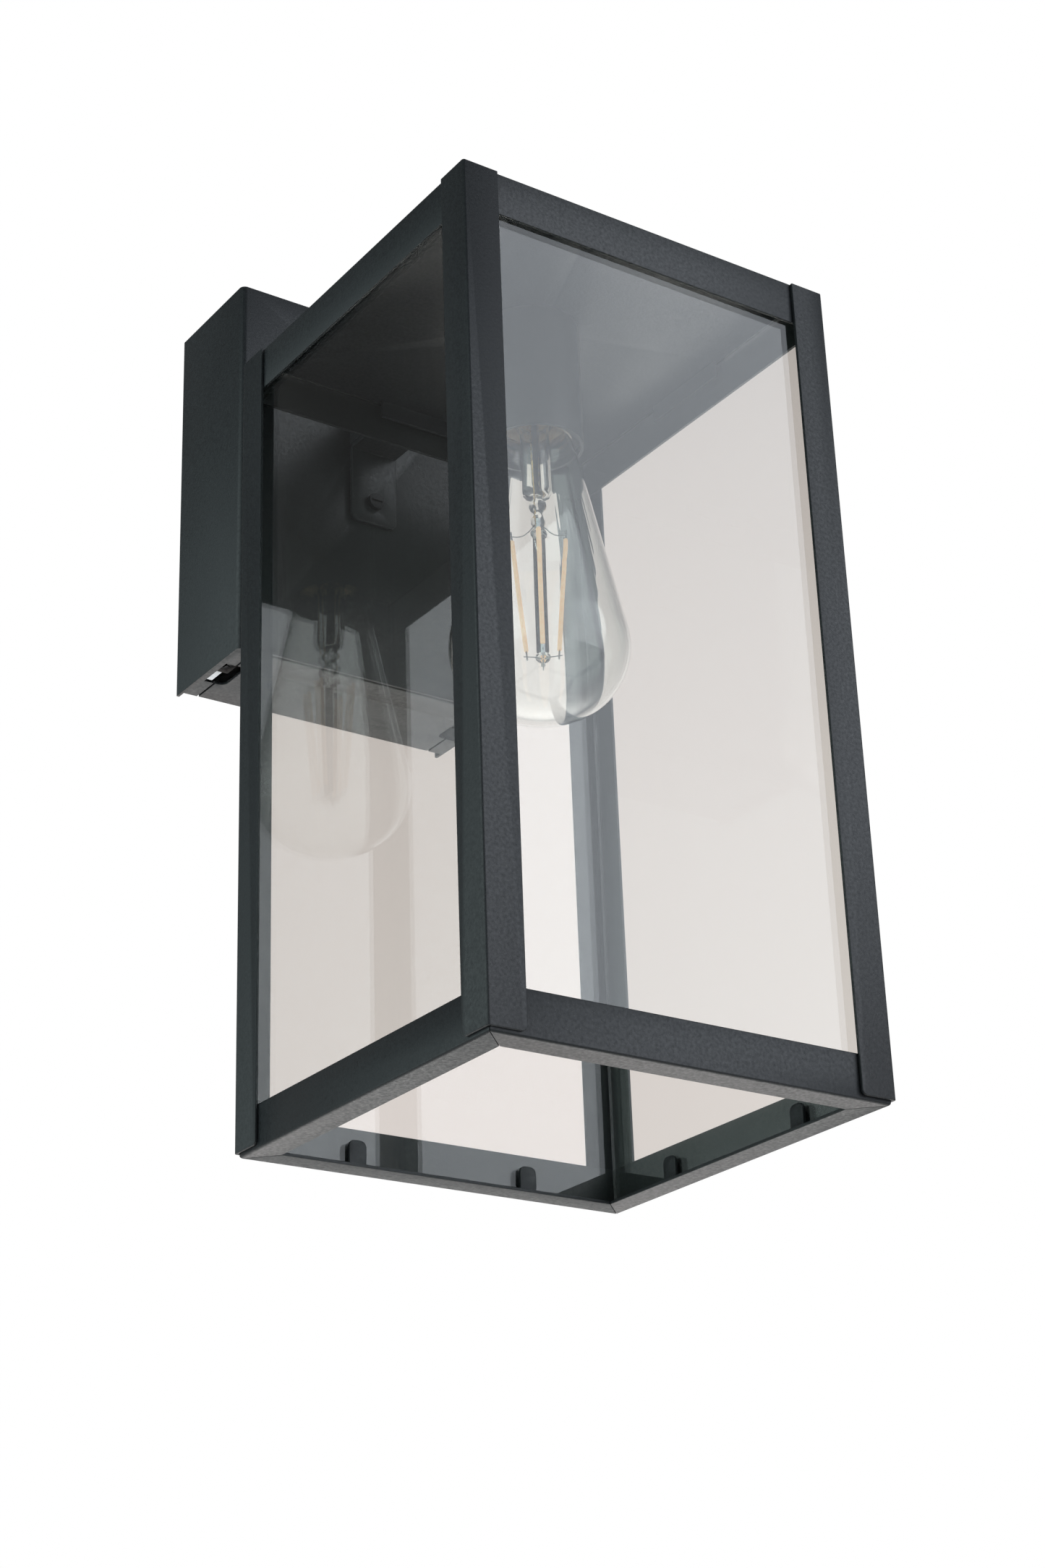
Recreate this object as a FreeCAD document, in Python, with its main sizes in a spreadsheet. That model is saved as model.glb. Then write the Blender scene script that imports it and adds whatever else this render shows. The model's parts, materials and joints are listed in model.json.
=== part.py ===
import FreeCAD, Part
import math
import os
import re
import Sketcher

# An outdoor wall lantern: a flat wall box, a bent strip arm, and a square glazed lantern
# hanging from it, open at the bottom, with a filament bulb screwed into a lampholder.
# Origin: centre of the wall box where it meets the wall. +Z is up, the wall lies at Y = 0,
# and the lantern stands out towards -Y. Everything is in millimetres.

os.makedirs("parts", exist_ok=True)
doc = FreeCAD.newDocument("WallLantern")

SIZES = [
    # lantern
    ("lantern_width", 162.0, "outside, left to right"),
    ("lantern_depth", 157.0, "outside, front to rear"),
    ("lantern_height", 318.0, "outside, roof to open bottom"),
    ("lantern_top", 19.5, "roof top above the wall box's centre"),
    ("standoff", 35.0, "clear gap between wall box and lantern"),
    ("sheet", 1.2, "folded steel sheet of lantern and box"),
    ("post_leg", 14.5, "width of each leg of a corner post"),
    ("post_lift", 1.6, "post foot above the bottom fold"),
    ("post_edge_round", 1.0, "outer bend of a corner post"),
    ("post_foot_round", 2.0, "lower corner of each leg"),
    ("top_rail_height", 17.0, "depth of a top rail"),
    ("bottom_rail_height", 16.0, "depth of a bottom rail"),
    ("bottom_flange", 12.0, "inward flange of a bottom rail, from the outer face"),
    ("seam", 0.1, "paint gap between pieces of sheet"),
    # glazing
    ("glass_thickness", 3.0, "flat pane"),
    ("glass_gap", 0.4, "play on each face of a pane"),
    ("glass_tab_width", 7.0, "bent-up tab that holds a pane"),
    ("glass_tab_height", 11.0, "tab above the bottom fold"),
    ("glass_tab_spacing", 72.0, "between the two tabs of a side"),
    ("roof_tab_width", 40.0, "bent-down tab of the roof"),
    ("roof_tab_height", 7.0, "roof tab below the roof"),
    # wall box
    ("box_width", 125.0, "outside, left to right"),
    ("box_height", 167.0, "outside, bottom to top"),
    ("box_depth", 51.0, "wall to front face"),
    ("box_edge_round", 2.5, "upright front edges"),
    ("box_strip", 7.0, "folded-in strip under each side"),
    ("floor_gap", 0.8, "slit around the floor plate"),
    ("floor_setback", 4.0, "floor plate's rear edge from the wall"),
    ("floor_flange", 12.0, "floor plate's upturned front edge"),
    ("notch_length", 18.0, "screwdriver opening, front to rear"),
    ("notch_width", 9.0, "screwdriver opening, left to right"),
    # wall bracket and the clamp that holds the box on it
    ("bracket_sheet", 1.5, "bracket steel"),
    ("bracket_play", 1.0, "bracket edge to box side"),
    ("bracket_height", 128.0, "back plate"),
    ("clamp_y", 27.0, "clamp screw from the wall"),
    ("lug_rise", 8.0, "lug above the box's underside"),
    ("lug_length", 22.0, "lug, front to rear"),
    ("lug_width", 13.0, "lug, out from the side"),
    ("fit_gap", 0.3, "play between pieces that slide past each other"),
    ("tab_width", 11.0, "bracket tab"),
    ("clamp_radius", 2.0, "clamp screw shank"),
    ("slot_play", 0.2, "shank to slot, each side"),
    ("turn_play", 0.05, "shank to hole that it turns in"),
    ("clamp_head_radius", 3.5, "clamp screw head"),
    ("clamp_head_height", 2.4, "clamp screw head"),
    ("clamp_nut_across", 7.0, "across the flats"),
    ("clamp_nut_height", 3.2, "clamp nut"),
    ("screw_tail", 1.8, "screw beyond its nut"),
    ("wall_slot_spacing", 64.0, "between the wall screw slots"),
    ("wall_slot_length", 14.0, "end to end"),
    ("wall_slot_width", 5.4, "for a 5 mm wall screw"),
    ("cable_hole_radius", 9.0, "hole for the cable grommet"),
    ("cable_hole_z", 34.0, "cable hole below the box's centre"),
    ("cable_bore_radius", 4.5, "bore of the cable grommet"),
    ("grommet_lip", 2.5, "rubber lip, beyond the hole and along it"),
    # arm
    ("arm_width", 21.0, "strip and channel"),
    ("arm_sheet", 2.0, "bent strip"),
    ("arm_tongue", 33.0, "strip's tongue below the lantern's top"),
    ("arm_reach", 24.0, "arm beyond the lampholder's axis"),
    ("channel_sheet", 1.5, "channel over the strip"),
    ("channel_height", 13.0, "channel above the strip"),
    ("channel_flange", 22.0, "channel's upturned flange"),
    ("corner_round", 3.0, "rounded corners of tongue and flange"),
    ("arm_screw_drop", 23.0, "lower arm screw below the lantern's top"),
    ("arm_screw_radius", 2.0, "arm screw shank"),
    ("arm_head_radius", 3.4, "arm screw head"),
    ("arm_head_height", 2.0, "arm screw head"),
    ("lead_hole_radius", 5.0, "hole in the box front for the leads"),
    # lampholder
    ("nipple_radius", 5.0, "threaded tube"),
    ("nipple_wall", 1.0, "threaded tube"),
    ("nipple_nut_across", 14.0, "lower nut, across the flats"),
    ("nipple_nut_play", 0.917, "corner of the upper nut to the channel's side"),
    ("nipple_nut_height", 3.0, "lock nut"),
    ("nipple_tail", 0.5, "tube beyond the upper nut"),
    ("nipple_recess", 1.0, "tube's lower end above the holder's floor"),
    ("sleeve_radius", 18.5, "outside of the sleeve"),
    ("sleeve_wall", 1.2, "sleeve tube"),
    ("sleeve_length", 52.0, "sleeve below the roof"),
    ("holder_top", 9.0, "holder body below the lantern's top"),
    ("holder_floor", 7.0, "solid end of the holder body"),
    ("holder_length", 41.5, "holder body"),
    ("socket_radius", 13.45, "bore of the threaded shell"),
    ("socket_wall", 0.6, "threaded shell"),
    ("shell_drop", 2.5, "threaded shell below the holder's floor"),
    ("shell_recess", 1.0, "threaded shell above the holder's rim"),
    ("shell_ridge", 1.5, "ridge of the shell at its root"),
    ("shell_crest", 0.7, "ridge of the shell at its crest"),
    ("leaf_rim", 2.5, "contact leaf beyond the tube"),
    ("leaf_thickness", 0.6, "contact leaf"),
    ("leaf_slope", 2.0, "contact leaf's raised middle, in from the tube"),
    ("thread_pitch", 3.629, "seven turns to the inch"),
    ("thread_play", 0.3, "between the two threads"),
    # bulb
    ("bulb_length", 145.0, "contact to tip"),
    ("bulb_radius", 32.0, "widest"),
    ("bulb_tip_drop", 164.5, "tip below the lantern's top"),
    ("bulb_shoulder_radius", 27.0, "arc at the widest point"),
    ("bulb_tip_radius", 45.0, "arc at the tip"),
    ("bulb_cone_angle", 12.0, "half angle of the long cone, degrees"),
    ("bulb_wall", 0.8, "blown glass"),
    ("neck_radius", 11.7, "glass inside the cap"),
    ("neck_end", 6.0, "glass neck below the cap's end"),
    ("neck_flare_angle", 28.0, "steepest slope below the cap, degrees"),
    ("neck_hollow_radius", 10.0, "arc that leaves the cap"),
    ("neck_shoulder_radius", 25.0, "arc that runs into the cone"),
    ("cap_radius", 13.15, "crest of the cap's thread"),
    ("cap_length", 22.0, "metal cap"),
    ("cap_wall", 0.35, "metal cap"),
    ("cap_skirt_radius", 13.0, "plain skirt below the thread"),
    ("cap_skirt_length", 4.0, "plain skirt below the thread"),
    ("cap_end_radius", 8.1, "cap where it meets the insulator"),
    ("cap_end_length", 4.0, "sloping end of the cap"),
    ("cap_ridge", 2.0, "ridge of the cap at its root"),
    ("cap_crest", 1.0, "ridge of the cap at its crest"),
    ("thread_lead_in", 1.6, "skirt to the middle of the first ridge"),
    ("thread_turns", 3.0, "turns of each thread"),
    ("thread_depth", 0.75, "crest to root"),
    ("contact_radius", 5.0, "solder contact"),
    ("contact_height", 1.6, "solder contact"),
    ("contact_margin", 0.5, "insulator round the solder contact"),
    ("insulator_height", 4.0, "glass ring round the contact"),
    ("filament_length", 46.0, "end to end"),
    ("filament_radius", 0.9, "coated stick"),
    ("filament_top_spread", 10.0, "upper ends from the axis"),
    ("filament_foot_spread", 6.0, "lower ends from the axis"),
    ("filament_drop", 92.5, "upper ends below the lantern's top"),
    ("filament_turn", -35.0, "first stick from the front, degrees"),
    ("filament_count", 4.0, "sticks round the axis"),
    ("wire_radius", 0.35, "support wire"),
    ("stem_radius", 5.5, "glass stem tube"),
    ("stem_end_drop", 75.0, "stem tube's end below the lantern's top"),
    ("press_length", 15.5, "flattened end of the stem"),
    ("press_radius", 3.9, "flattened end of the stem"),
    ("press_slope", 2.0, "half length of the slope between tube and press"),
    ("flare_rise", 7.0, "flared foot above the cap's lower edge"),
    ("flare_length", 7.0, "flared foot"),
    ("flare_bulge", 1.5, "flare's first widening"),
    ("rod_radius", 2.3, "glass rod below the press"),
    ("bead_drop", 2.5, "bead's middle below the sticks"),
    ("bead_radius", 2.8, "bead at the rod's end"),
    ("bead_height", 4.0, "bead at the rod's end"),
    # wiring
    ("lead_radius", 1.0, "insulated lead"),
    ("lead_spread", 1.5, "each lead from the middle"),
    ("lead_headroom", 1.2, "lead below the channel's crown"),
    ("lead_recess", 0.5, "lead's end above the tube's end"),
    ("lead_grommet_bore", 3.2, "bore of the grommet in the box front"),
    ("terminal_pitch", 9.0, "between poles"),
    ("terminal_depth", 16.0, "front to rear"),
    ("terminal_height", 20.0, "block"),
    ("terminal_drop", 24.0, "block's centre below the box's centre"),
    ("terminal_margin", 1.0, "block beyond its outer poles"),
    ("terminal_bore", 1.8, "radius of the hole for a lead"),
    ("terminal_well", 2.2, "radius of the hole for a screw"),
    ("terminal_screw_radius", 2.0, "terminal screw"),
    ("terminal_screw_length", 2.5, "terminal screw"),
    ("terminal_slot_depth", 1.0, "screwdriver slot"),
    ("terminal_slot_width", 0.6, "screwdriver slot"),
    ("terminal_slot_length", 3.0, "screwdriver slot"),
    ("terminal_screw_set", 1.0, "screw's face below the block's face"),
    ("earth_stud_length", 9.0, "stud inside the box front"),
    ("earth_ring_thickness", 0.8, "ring on the earth lead"),
    ("earth_ring_set", 4.2, "ring from the box front"),
]

sheet = doc.addObject("Spreadsheet::Sheet", "Sizes")
for row, (alias, amount, note) in enumerate(SIZES, start=1):
    sheet.set("A%d" % row, alias)
    sheet.set("B%d" % row, str(amount))
    sheet.set("C%d" % row, note)
    sheet.setAlias("B%d" % row, alias)
doc.recompute()
names = {alias for alias, amount, note in SIZES}
subParts = []


def bind(text):
    """Point every size named in an expression at the sheet."""
    return re.sub(r"[a-z][a-z_]*",
                  lambda m: "Sizes." + m.group() if m.group() in names else m.group(), str(text))


def value(text):
    return float(sheet.evalExpression(bind(text)))


def newBody(label, at=("0", "0", "0"), turn="0"):
    """A body for one sub-part, placed by expressions and turned about Z."""
    body = doc.addObject("PartDesign::Body", label)
    body.Label = label
    for axis, text in zip("xyz", at):
        body.setExpression("Placement.Base." + axis, bind(text))
    body.Placement = FreeCAD.Placement(FreeCAD.Vector(*[value(text) for text in at]),
                                       FreeCAD.Rotation(FreeCAD.Vector(0, 0, 1), value(turn)))
    subParts.append(body)
    return body


def newSketch(body, plane, height="0"):
    """A sketch on one of the body's own planes, moved along the plane's normal."""
    sketch = body.newObject("Sketcher::SketchObject", body.Label + "_sketch")
    origin = [item for item in body.Origin.OriginFeatures if item.Role == plane + "_Plane"][0]
    sketch.AttachmentSupport = [(origin, "")]
    sketch.MapMode = "FlatFace"
    sketch.setExpression("AttachmentOffset.Base.z", bind(height))
    return sketch


def pin(sketch, geometry, vertex, x, y):
    """Fix one vertex at a place that the sheet gives."""
    for kind, text in (("DistanceX", x), ("DistanceY", y)):
        index = sketch.addConstraint(Sketcher.Constraint(kind, -1, 1, geometry, vertex, value(text)))
        sketch.setExpression("Constraints[%d]" % index, bind(text))


def outline(sketch, points):
    """A closed outline of straight lines."""
    first = sketch.GeometryCount
    places = [FreeCAD.Vector(value(x), value(y), 0) for x, y in points]
    count = len(points)
    for i in range(count):
        sketch.addGeometry(Part.LineSegment(places[i], places[(i + 1) % count]), False)
    for i in range(count):
        sketch.addConstraint(Sketcher.Constraint("Coincident", first + i, 2, first + (i + 1) % count, 1))
    for i, (x, y) in enumerate(points):
        pin(sketch, first + i, 1, x, y)


def box(sketch, x0, x1, y0, y1):
    outline(sketch, [(x0, y0), (x1, y0), (x1, y1), (x0, y1)])


def circle(sketch, radius, x="0", y="0"):
    index = sketch.addGeometry(Part.Circle(FreeCAD.Vector(value(x), value(y), 0), FreeCAD.Vector(0, 0, 1),
                                           value(radius)), False)
    pin(sketch, index, 3, x, y)
    size = sketch.addConstraint(Sketcher.Constraint("Radius", index, value(radius)))
    sketch.setExpression("Constraints[%d]" % size, bind(radius))


def slot(sketch, length, width, x="0", y="0"):
    """A slot with round ends that runs along the sketch's own X."""
    half = "(%s - %s) / 2" % (length, width)
    left = "%s - %s" % (x, half)
    right = "%s + %s" % (x, half)
    radius = value(width) / 2
    up, down = value(y) + radius, value(y) - radius
    first = sketch.GeometryCount
    xl, xr, ym = value(left), value(right), value(y)
    sketch.addGeometry(Part.LineSegment(FreeCAD.Vector(xl, down, 0), FreeCAD.Vector(xr, down, 0)), False)
    for x0, start in ((xr, -math.pi / 2), (xl, math.pi / 2)):
        ring = Part.Circle(FreeCAD.Vector(x0, ym, 0), FreeCAD.Vector(0, 0, 1), radius)
        sketch.addGeometry(Part.ArcOfCircle(ring, start, start + math.pi), False)
        if x0 == xr:
            sketch.addGeometry(Part.LineSegment(FreeCAD.Vector(xr, up, 0), FreeCAD.Vector(xl, up, 0)), False)
    for a, b in ((0, 1), (1, 2), (2, 3), (3, 0)):
        sketch.addConstraint(Sketcher.Constraint("Tangent", first + a, 2, first + b, 1))
    pin(sketch, first + 1, 3, right, y)
    pin(sketch, first + 3, 3, left, y)
    size = sketch.addConstraint(Sketcher.Constraint("Radius", first + 1, radius))
    sketch.setExpression("Constraints[%d]" % size, bind("%s / 2" % width))


def feature(body, kind, sketch, length, middle=False, turned=False):
    item = body.newObject("PartDesign::" + kind, body.Label + "_" + kind.lower())
    item.Profile = sketch
    item.setExpression("Length", bind(length))
    item.Midplane = middle
    item.Reversed = turned
    doc.recompute()
    return item


def pad(body, sketch, length, **options):
    return feature(body, "Pad", sketch, length, **options)


def pocket(body, sketch, length, **options):
    """Cut through, and make sure that something was cut."""
    before = body.Shape.Volume
    item = feature(body, "Pocket", sketch, length, **options)
    if item.Shape.Volume > before - 0.01:
        raise RuntimeError("nothing cut from " + body.Label)
    return item


def revolve(body, sketch):
    item = body.newObject("PartDesign::Revolution", body.Label + "_revolution")
    item.Profile = sketch
    item.ReferenceAxis = (sketch, ["V_Axis"])
    item.Angle = 360
    doc.recompute()
    return item


def roundEdges(body, radius, wanted):
    """Fillet the edges of the body's last feature for which wanted(middle, direction) holds."""
    base = body.Tip
    found = []
    for number, edge in enumerate(base.Shape.Edges, start=1):
        if edge.Curve.TypeId != "Part::GeomLine":
            continue
        middle = edge.valueAt((edge.FirstParameter + edge.LastParameter) / 2)
        if wanted(middle, edge.Curve.Direction):
            found.append("Edge%d" % number)
    item = body.newObject("PartDesign::Fillet", body.Label + "_fillet")
    item.Base = (base, found)
    item.setExpression("Radius", bind(radius))
    doc.recompute()
    return item


def near(a, text):
    return abs(a - value(text)) < 0.01


# ------------------------------ the lantern's frame
# Each side is drawn as the front one, facing -Y, and turned about the lantern's axis.

AXIS_Y = "-(box_depth + standoff + lantern_depth / 2)"
FOOT_Z = "lantern_top - lantern_height"
SIDES = [
    ("front", 0, "lantern_width", "lantern_depth"),
    ("right", 90, "lantern_depth", "lantern_width"),
    ("rear", 180, "lantern_width", "lantern_depth"),
    ("left", 270, "lantern_depth", "lantern_width"),
]
RAIL_FACE = "(sheet + seam)"
PANE_FACE = "(2 * sheet + seam + glass_gap)"
PANE_BACK = "(2 * sheet + seam + glass_gap + glass_thickness)"


def lanternBody(label, turn=0, height="0"):
    return newBody(label, ("0", AXIS_Y, "%s + %s" % (FOOT_Z, height)), turn)


def makePost(label, wide, deep, turn):
    """L-shaped corner post, drawn at the corner towards -X and -Y."""
    body = lanternBody(label, turn)
    x = "-%s / 2" % wide
    y = "-%s / 2" % deep
    sketch = newSketch(body, "XY", "post_lift")
    outline(sketch, [(x, y), (x + " + post_leg", y), (x + " + post_leg", y + " + sheet"),
                     (x + " + sheet", y + " + sheet"), (x + " + sheet", y + " + post_leg"),
                     (x, y + " + post_leg")])
    pad(body, sketch, "lantern_height - post_lift")
    roundEdges(body, "post_edge_round", lambda m, d: near(m.x, x) and near(m.y, y) and abs(d.z) > 0.9)
    roundEdges(body, "post_foot_round", lambda m, d: near(m.z, "post_lift") and (
        near(m.x, x + " + post_leg") and abs(d.y) > 0.9 or near(m.y, y + " + post_leg") and abs(d.x) > 0.9))


def makeTopRail(side, turn, wide, deep):
    body = lanternBody("top_rail_" + side, turn)
    y = "-%s / 2 + %s" % (deep, RAIL_FACE)
    half = "(%s / 2 - %s - sheet - seam)" % (wide, RAIL_FACE)
    if side in ("front", "rear"):
        half = "(%s / 2 - %s)" % (wide, RAIL_FACE)
    sketch = newSketch(body, "XY", "lantern_height - top_rail_height")
    box(sketch, "-" + half, half, y, y + " + sheet")
    pad(body, sketch, "top_rail_height")


def makeBottomRail(side, turn, wide, deep):
    """Upright web, inward flange with mitred ends, and two tabs bent up behind the pane."""
    body = lanternBody("bottom_rail_" + side, turn)
    y = "-%s / 2 + %s" % (deep, RAIL_FACE)
    inner = "-%s / 2 + bottom_flange" % deep
    half = "(%s / 2 - %s - seam)" % (wide, RAIL_FACE)
    web = newSketch(body, "XY")
    outline(web, [("-" + half, y), (half, y), ("%s - sheet" % half, y + " + sheet"),
                  ("-%s + sheet" % half, y + " + sheet")])
    pad(body, web, "bottom_rail_height")
    run = "(%s / 2 - bottom_flange - seam)" % wide
    flange = newSketch(body, "XY")
    outline(flange, [("-" + half, y), (half, y), (run, inner), ("-" + run, inner)])
    pad(body, flange, "sheet")
    roundEdges(body, "sheet * 0.8", lambda m, d: near(m.z, "0") and near(m.y, y) and abs(d.x) > 0.9)
    tabs = newSketch(body, "XY")
    nearFace = "-%s / 2 + %s + glass_gap" % (deep, PANE_BACK)
    for sign in ("-", ""):
        middle = "%sglass_tab_spacing / 2" % sign
        box(tabs, middle + " - glass_tab_width / 2", middle + " + glass_tab_width / 2",
            nearFace, nearFace + " + sheet")
    pad(body, tabs, "glass_tab_height")
    roundEdges(body, "glass_tab_width / 3",
               lambda m, d: near(m.z, "glass_tab_height") and abs(d.y) > 0.9)


def makePane(side, turn, wide, deep):
    body = lanternBody("glass_" + side, turn)
    half = "(%s / 2 - %s)" % (wide, PANE_FACE)
    if side in ("left", "right"):
        half = "(%s / 2 - %s - fit_gap)" % (wide, PANE_BACK)
    sketch = newSketch(body, "XY", "sheet + fit_gap")
    y = "-%s / 2 + %s" % (deep, PANE_FACE)
    box(sketch, "-" + half, half, y, y + " + glass_thickness")
    pad(body, sketch, "lantern_height - 2 * sheet - 2 * fit_gap")


def makeRoof():
    """Flat roof plate inside the top rails, with a tab bent down behind each pane."""
    body = lanternBody("roof_plate")
    inset = "(%s + sheet + seam)" % RAIL_FACE
    plate = newSketch(body, "XY", "lantern_height - sheet")
    halfX = "(lantern_width / 2 - %s)" % inset
    halfY = "(lantern_depth / 2 - %s)" % inset
    box(plate, "-" + halfX, halfX, "-" + halfY, halfY)
    circle(plate, "nipple_radius + turn_play")
    pad(body, plate, "sheet")
    tabs = newSketch(body, "XY", "lantern_height - sheet - roof_tab_height")
    nearFace = "(%s + glass_gap)" % PANE_BACK
    half = "roof_tab_width / 2"
    for sign in (-1, 1):
        outerX = "%d * (lantern_width / 2 - %s)" % (sign, nearFace)
        outerY = "%d * (lantern_depth / 2 - %s)" % (sign, nearFace)
        box(tabs, outerX, outerX + " - %d * sheet" % sign, "-" + half, half)
        box(tabs, "-" + half, half, outerY, outerY + " - %d * sheet" % sign)
    pad(body, tabs, "roof_tab_height")


makePost("post_front_left", "lantern_width", "lantern_depth", 0)
makePost("post_front_right", "lantern_depth", "lantern_width", 90)
makePost("post_rear_right", "lantern_width", "lantern_depth", 180)
makePost("post_rear_left", "lantern_depth", "lantern_width", 270)
for side, turn, wide, deep in SIDES:
    makeTopRail(side, turn, wide, deep)
    makeBottomRail(side, turn, wide, deep)
    makePane(side, turn, wide, deep)
makeRoof()

# ------------------------------ wall box

CLAMP_X = "(box_width / 2 - box_strip - floor_gap / 2)"
BOX_FOOT = "-box_height / 2"
INNER_X = "(box_width / 2 - sheet)"
LUG_TOP = "(%s + lug_rise)" % BOX_FOOT
CHANNEL_Z = "(lantern_top + arm_sheet + (channel_height - channel_sheet) / 2)"
FLANGE_MIDDLE = "(lantern_top + arm_sheet + channel_height + channel_flange / 2)"
ARM_SCREW_Z = ["lantern_top - arm_screw_drop", FLANGE_MIDDLE]


def makeBoxShell():
    """Front, sides and top folded from one sheet, with a strip folded in under each side."""
    body = newBody("box_shell", ("0", "0", BOX_FOOT))
    wrap = newSketch(body, "XY")
    outer = "(box_width / 2)"
    outline(wrap, [("-" + outer, "0"), ("-" + outer, "-box_depth"), (outer, "-box_depth"), (outer, "0"),
                   (INNER_X, "0"), (INNER_X, "-box_depth + sheet"), ("-" + INNER_X, "-box_depth + sheet"),
                   ("-" + INNER_X, "0")])
    pad(body, wrap, "box_height")
    roundEdges(body, "box_edge_round",
               lambda m, d: abs(d.z) > 0.9 and near(m.y, "-box_depth"))
    roundEdges(body, "box_edge_round - sheet",
               lambda m, d: abs(d.z) > 0.9 and near(m.y, "-box_depth + sheet"))
    top = newSketch(body, "XY", "box_height - sheet")
    box(top, "-" + INNER_X, INNER_X, "-box_depth + sheet", "0")
    pad(body, top, "sheet")
    strips = newSketch(body, "XY")
    for sign in (-1, 1):
        edge = "%d * %s" % (sign, INNER_X)
        box(strips, edge, "%d * (box_width / 2 - box_strip)" % sign, "-box_depth + sheet", "-floor_setback")
    pad(body, strips, "sheet")
    notches = newSketch(body, "XY")
    for sign in ("-", ""):
        box(notches, sign + CLAMP_X + " - notch_width / 2", sign + CLAMP_X + " + notch_width / 2",
            "-clamp_y - notch_length / 2", "-clamp_y + notch_length / 2")
    pocket(body, notches, "sheet * 2", middle=True)
    holes = newSketch(body, "XZ", "box_depth")
    circle(holes, "lead_hole_radius", y="%s - %s" % (CHANNEL_Z, BOX_FOOT))
    for height in ARM_SCREW_Z:
        circle(holes, "arm_screw_radius + turn_play", y="%s - %s" % (height, BOX_FOOT))
    pocket(body, holes, "box_depth", middle=True)


def makeBoxFloor():
    """Plate between the strips, with its front edge turned up behind the box front."""
    body = newBody("box_floor", ("0", "0", BOX_FOOT))
    half = "(box_width / 2 - box_strip - floor_gap)"
    front = "-box_depth + sheet + floor_gap"
    plate = newSketch(body, "XY")
    box(plate, "-" + half, half, front, "-floor_setback")
    pad(body, plate, "sheet")
    lip = newSketch(body, "XY")
    box(lip, "-" + half, half, front, front + " + sheet")
    pad(body, lip, "floor_flange")
    roundEdges(body, "sheet * 0.8", lambda m, d: near(m.z, "0") and near(m.y, front) and abs(d.x) > 0.9)
    notches = newSketch(body, "XY")
    for sign in ("-", ""):
        box(notches, sign + CLAMP_X + " - notch_width / 2", sign + CLAMP_X + " + notch_width / 2",
            "-clamp_y - notch_length / 2", "-clamp_y + notch_length / 2")
    pocket(body, notches, "sheet * 3", middle=True)
    roundEdges(body, "notch_width / 3",
               lambda m, d: abs(d.z) > 0.9 and near(abs(m.x), CLAMP_X + " - notch_width / 2"))


def makeLug(side, sign):
    """Angle welded to the box side; the clamp screw turns in it."""
    body = newBody("clamp_lug_" + side, ("0", "0", BOX_FOOT))
    section = newSketch(body, "XZ", "clamp_y - lug_length / 2")
    edge = "%d * (%s - seam)" % (sign, INNER_X)
    inner = "%s - %d * lug_width" % (edge, sign)
    thin = "%s - %d * sheet" % (edge, sign)
    outline(section, [(edge, "sheet + fit_gap"), (edge, "lug_rise"), (inner, "lug_rise"),
                      (inner, "lug_rise - sheet"), (thin, "lug_rise - sheet"), (thin, "sheet + fit_gap")])
    pad(body, section, "lug_length")
    hole = newSketch(body, "XY", "lug_rise")
    circle(hole, "clamp_radius + turn_play", "%d * %s" % (sign, CLAMP_X), "-clamp_y")
    pocket(body, hole, "sheet * 3", middle=True)


def makeClampScrew(side, sign):
    """Pan head screw with a cross slot, put in from below."""
    body = newBody("clamp_screw_" + side, ("%d * %s" % (sign, CLAMP_X), "-clamp_y", LUG_TOP + " - sheet"))
    head = newSketch(body, "XY", "-clamp_head_height - seam")
    circle(head, "clamp_head_radius")
    pad(body, head, "clamp_head_height")
    shank = newSketch(body, "XY", "-seam - clamp_head_height / 2")
    circle(shank, "clamp_radius")
    pad(body, shank, "clamp_head_height / 2 + sheet + bracket_sheet + clamp_nut_height + screw_tail")
    cross = newSketch(body, "XY", "-clamp_head_height - seam")
    arm, web = "clamp_head_radius * 0.6", "clamp_head_radius * 0.12"
    outline(cross, [("-" + arm, "-" + web), ("-" + web, "-" + web), ("-" + web, "-" + arm), (web, "-" + arm),
                    (web, "-" + web), (arm, "-" + web), (arm, web), (web, web), (web, arm), ("-" + web, arm),
                    ("-" + web, web), ("-" + arm, web)])
    pocket(body, cross, "clamp_head_height", middle=True)


def makeClampNut(side, sign):
    """Square nut that the clamp screw draws down on the bracket's tab."""
    height = "%s + fit_gap + bracket_sheet + fit_gap" % LUG_TOP
    body = newBody("clamp_nut_" + side, ("%d * %s" % (sign, CLAMP_X), "-clamp_y", height))
    sketch = newSketch(body, "XY")
    half = "clamp_nut_across / 2"
    box(sketch, "-" + half, half, "-" + half, half)
    circle(sketch, "clamp_radius + turn_play")
    pad(body, sketch, "clamp_nut_height")


def makeBracket():
    """Plate screwed to the wall, with two tabs that the box hangs on and is clamped to."""
    body = newBody("wall_bracket")
    half = "(%s - bracket_play)" % INNER_X
    tabZ = "(%s + fit_gap)" % LUG_TOP
    plate = newSketch(body, "XZ")
    box(plate, "-" + half, half, tabZ, tabZ + " + bracket_height")
    circle(plate, "cable_hole_radius", y="-cable_hole_z")
    for sign in ("-", ""):
        slot(plate, "wall_slot_length", "wall_slot_width", x=sign + "wall_slot_spacing / 2")
    pad(body, plate, "bracket_sheet")
    tabs = newSketch(body, "XY", tabZ)
    reach = "-clamp_y - tab_width / 2"
    wide = "(clamp_radius + slot_play)"
    for sign in (-1, 1):
        outer = "%d * %s" % (sign, half)
        inner = "%s - %d * tab_width" % (outer, sign)
        sideA = "%d * (%s + %s)" % (sign, CLAMP_X, wide)
        sideB = "%d * (%s - %s)" % (sign, CLAMP_X, wide)
        end = "-clamp_y + " + wide
        outline(tabs, [(outer, "0"), (outer, reach), (sideA, reach), (sideA, end), (sideB, end),
                       (sideB, reach), (inner, reach), (inner, "0")])
    pad(body, tabs, "bracket_sheet")


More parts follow.
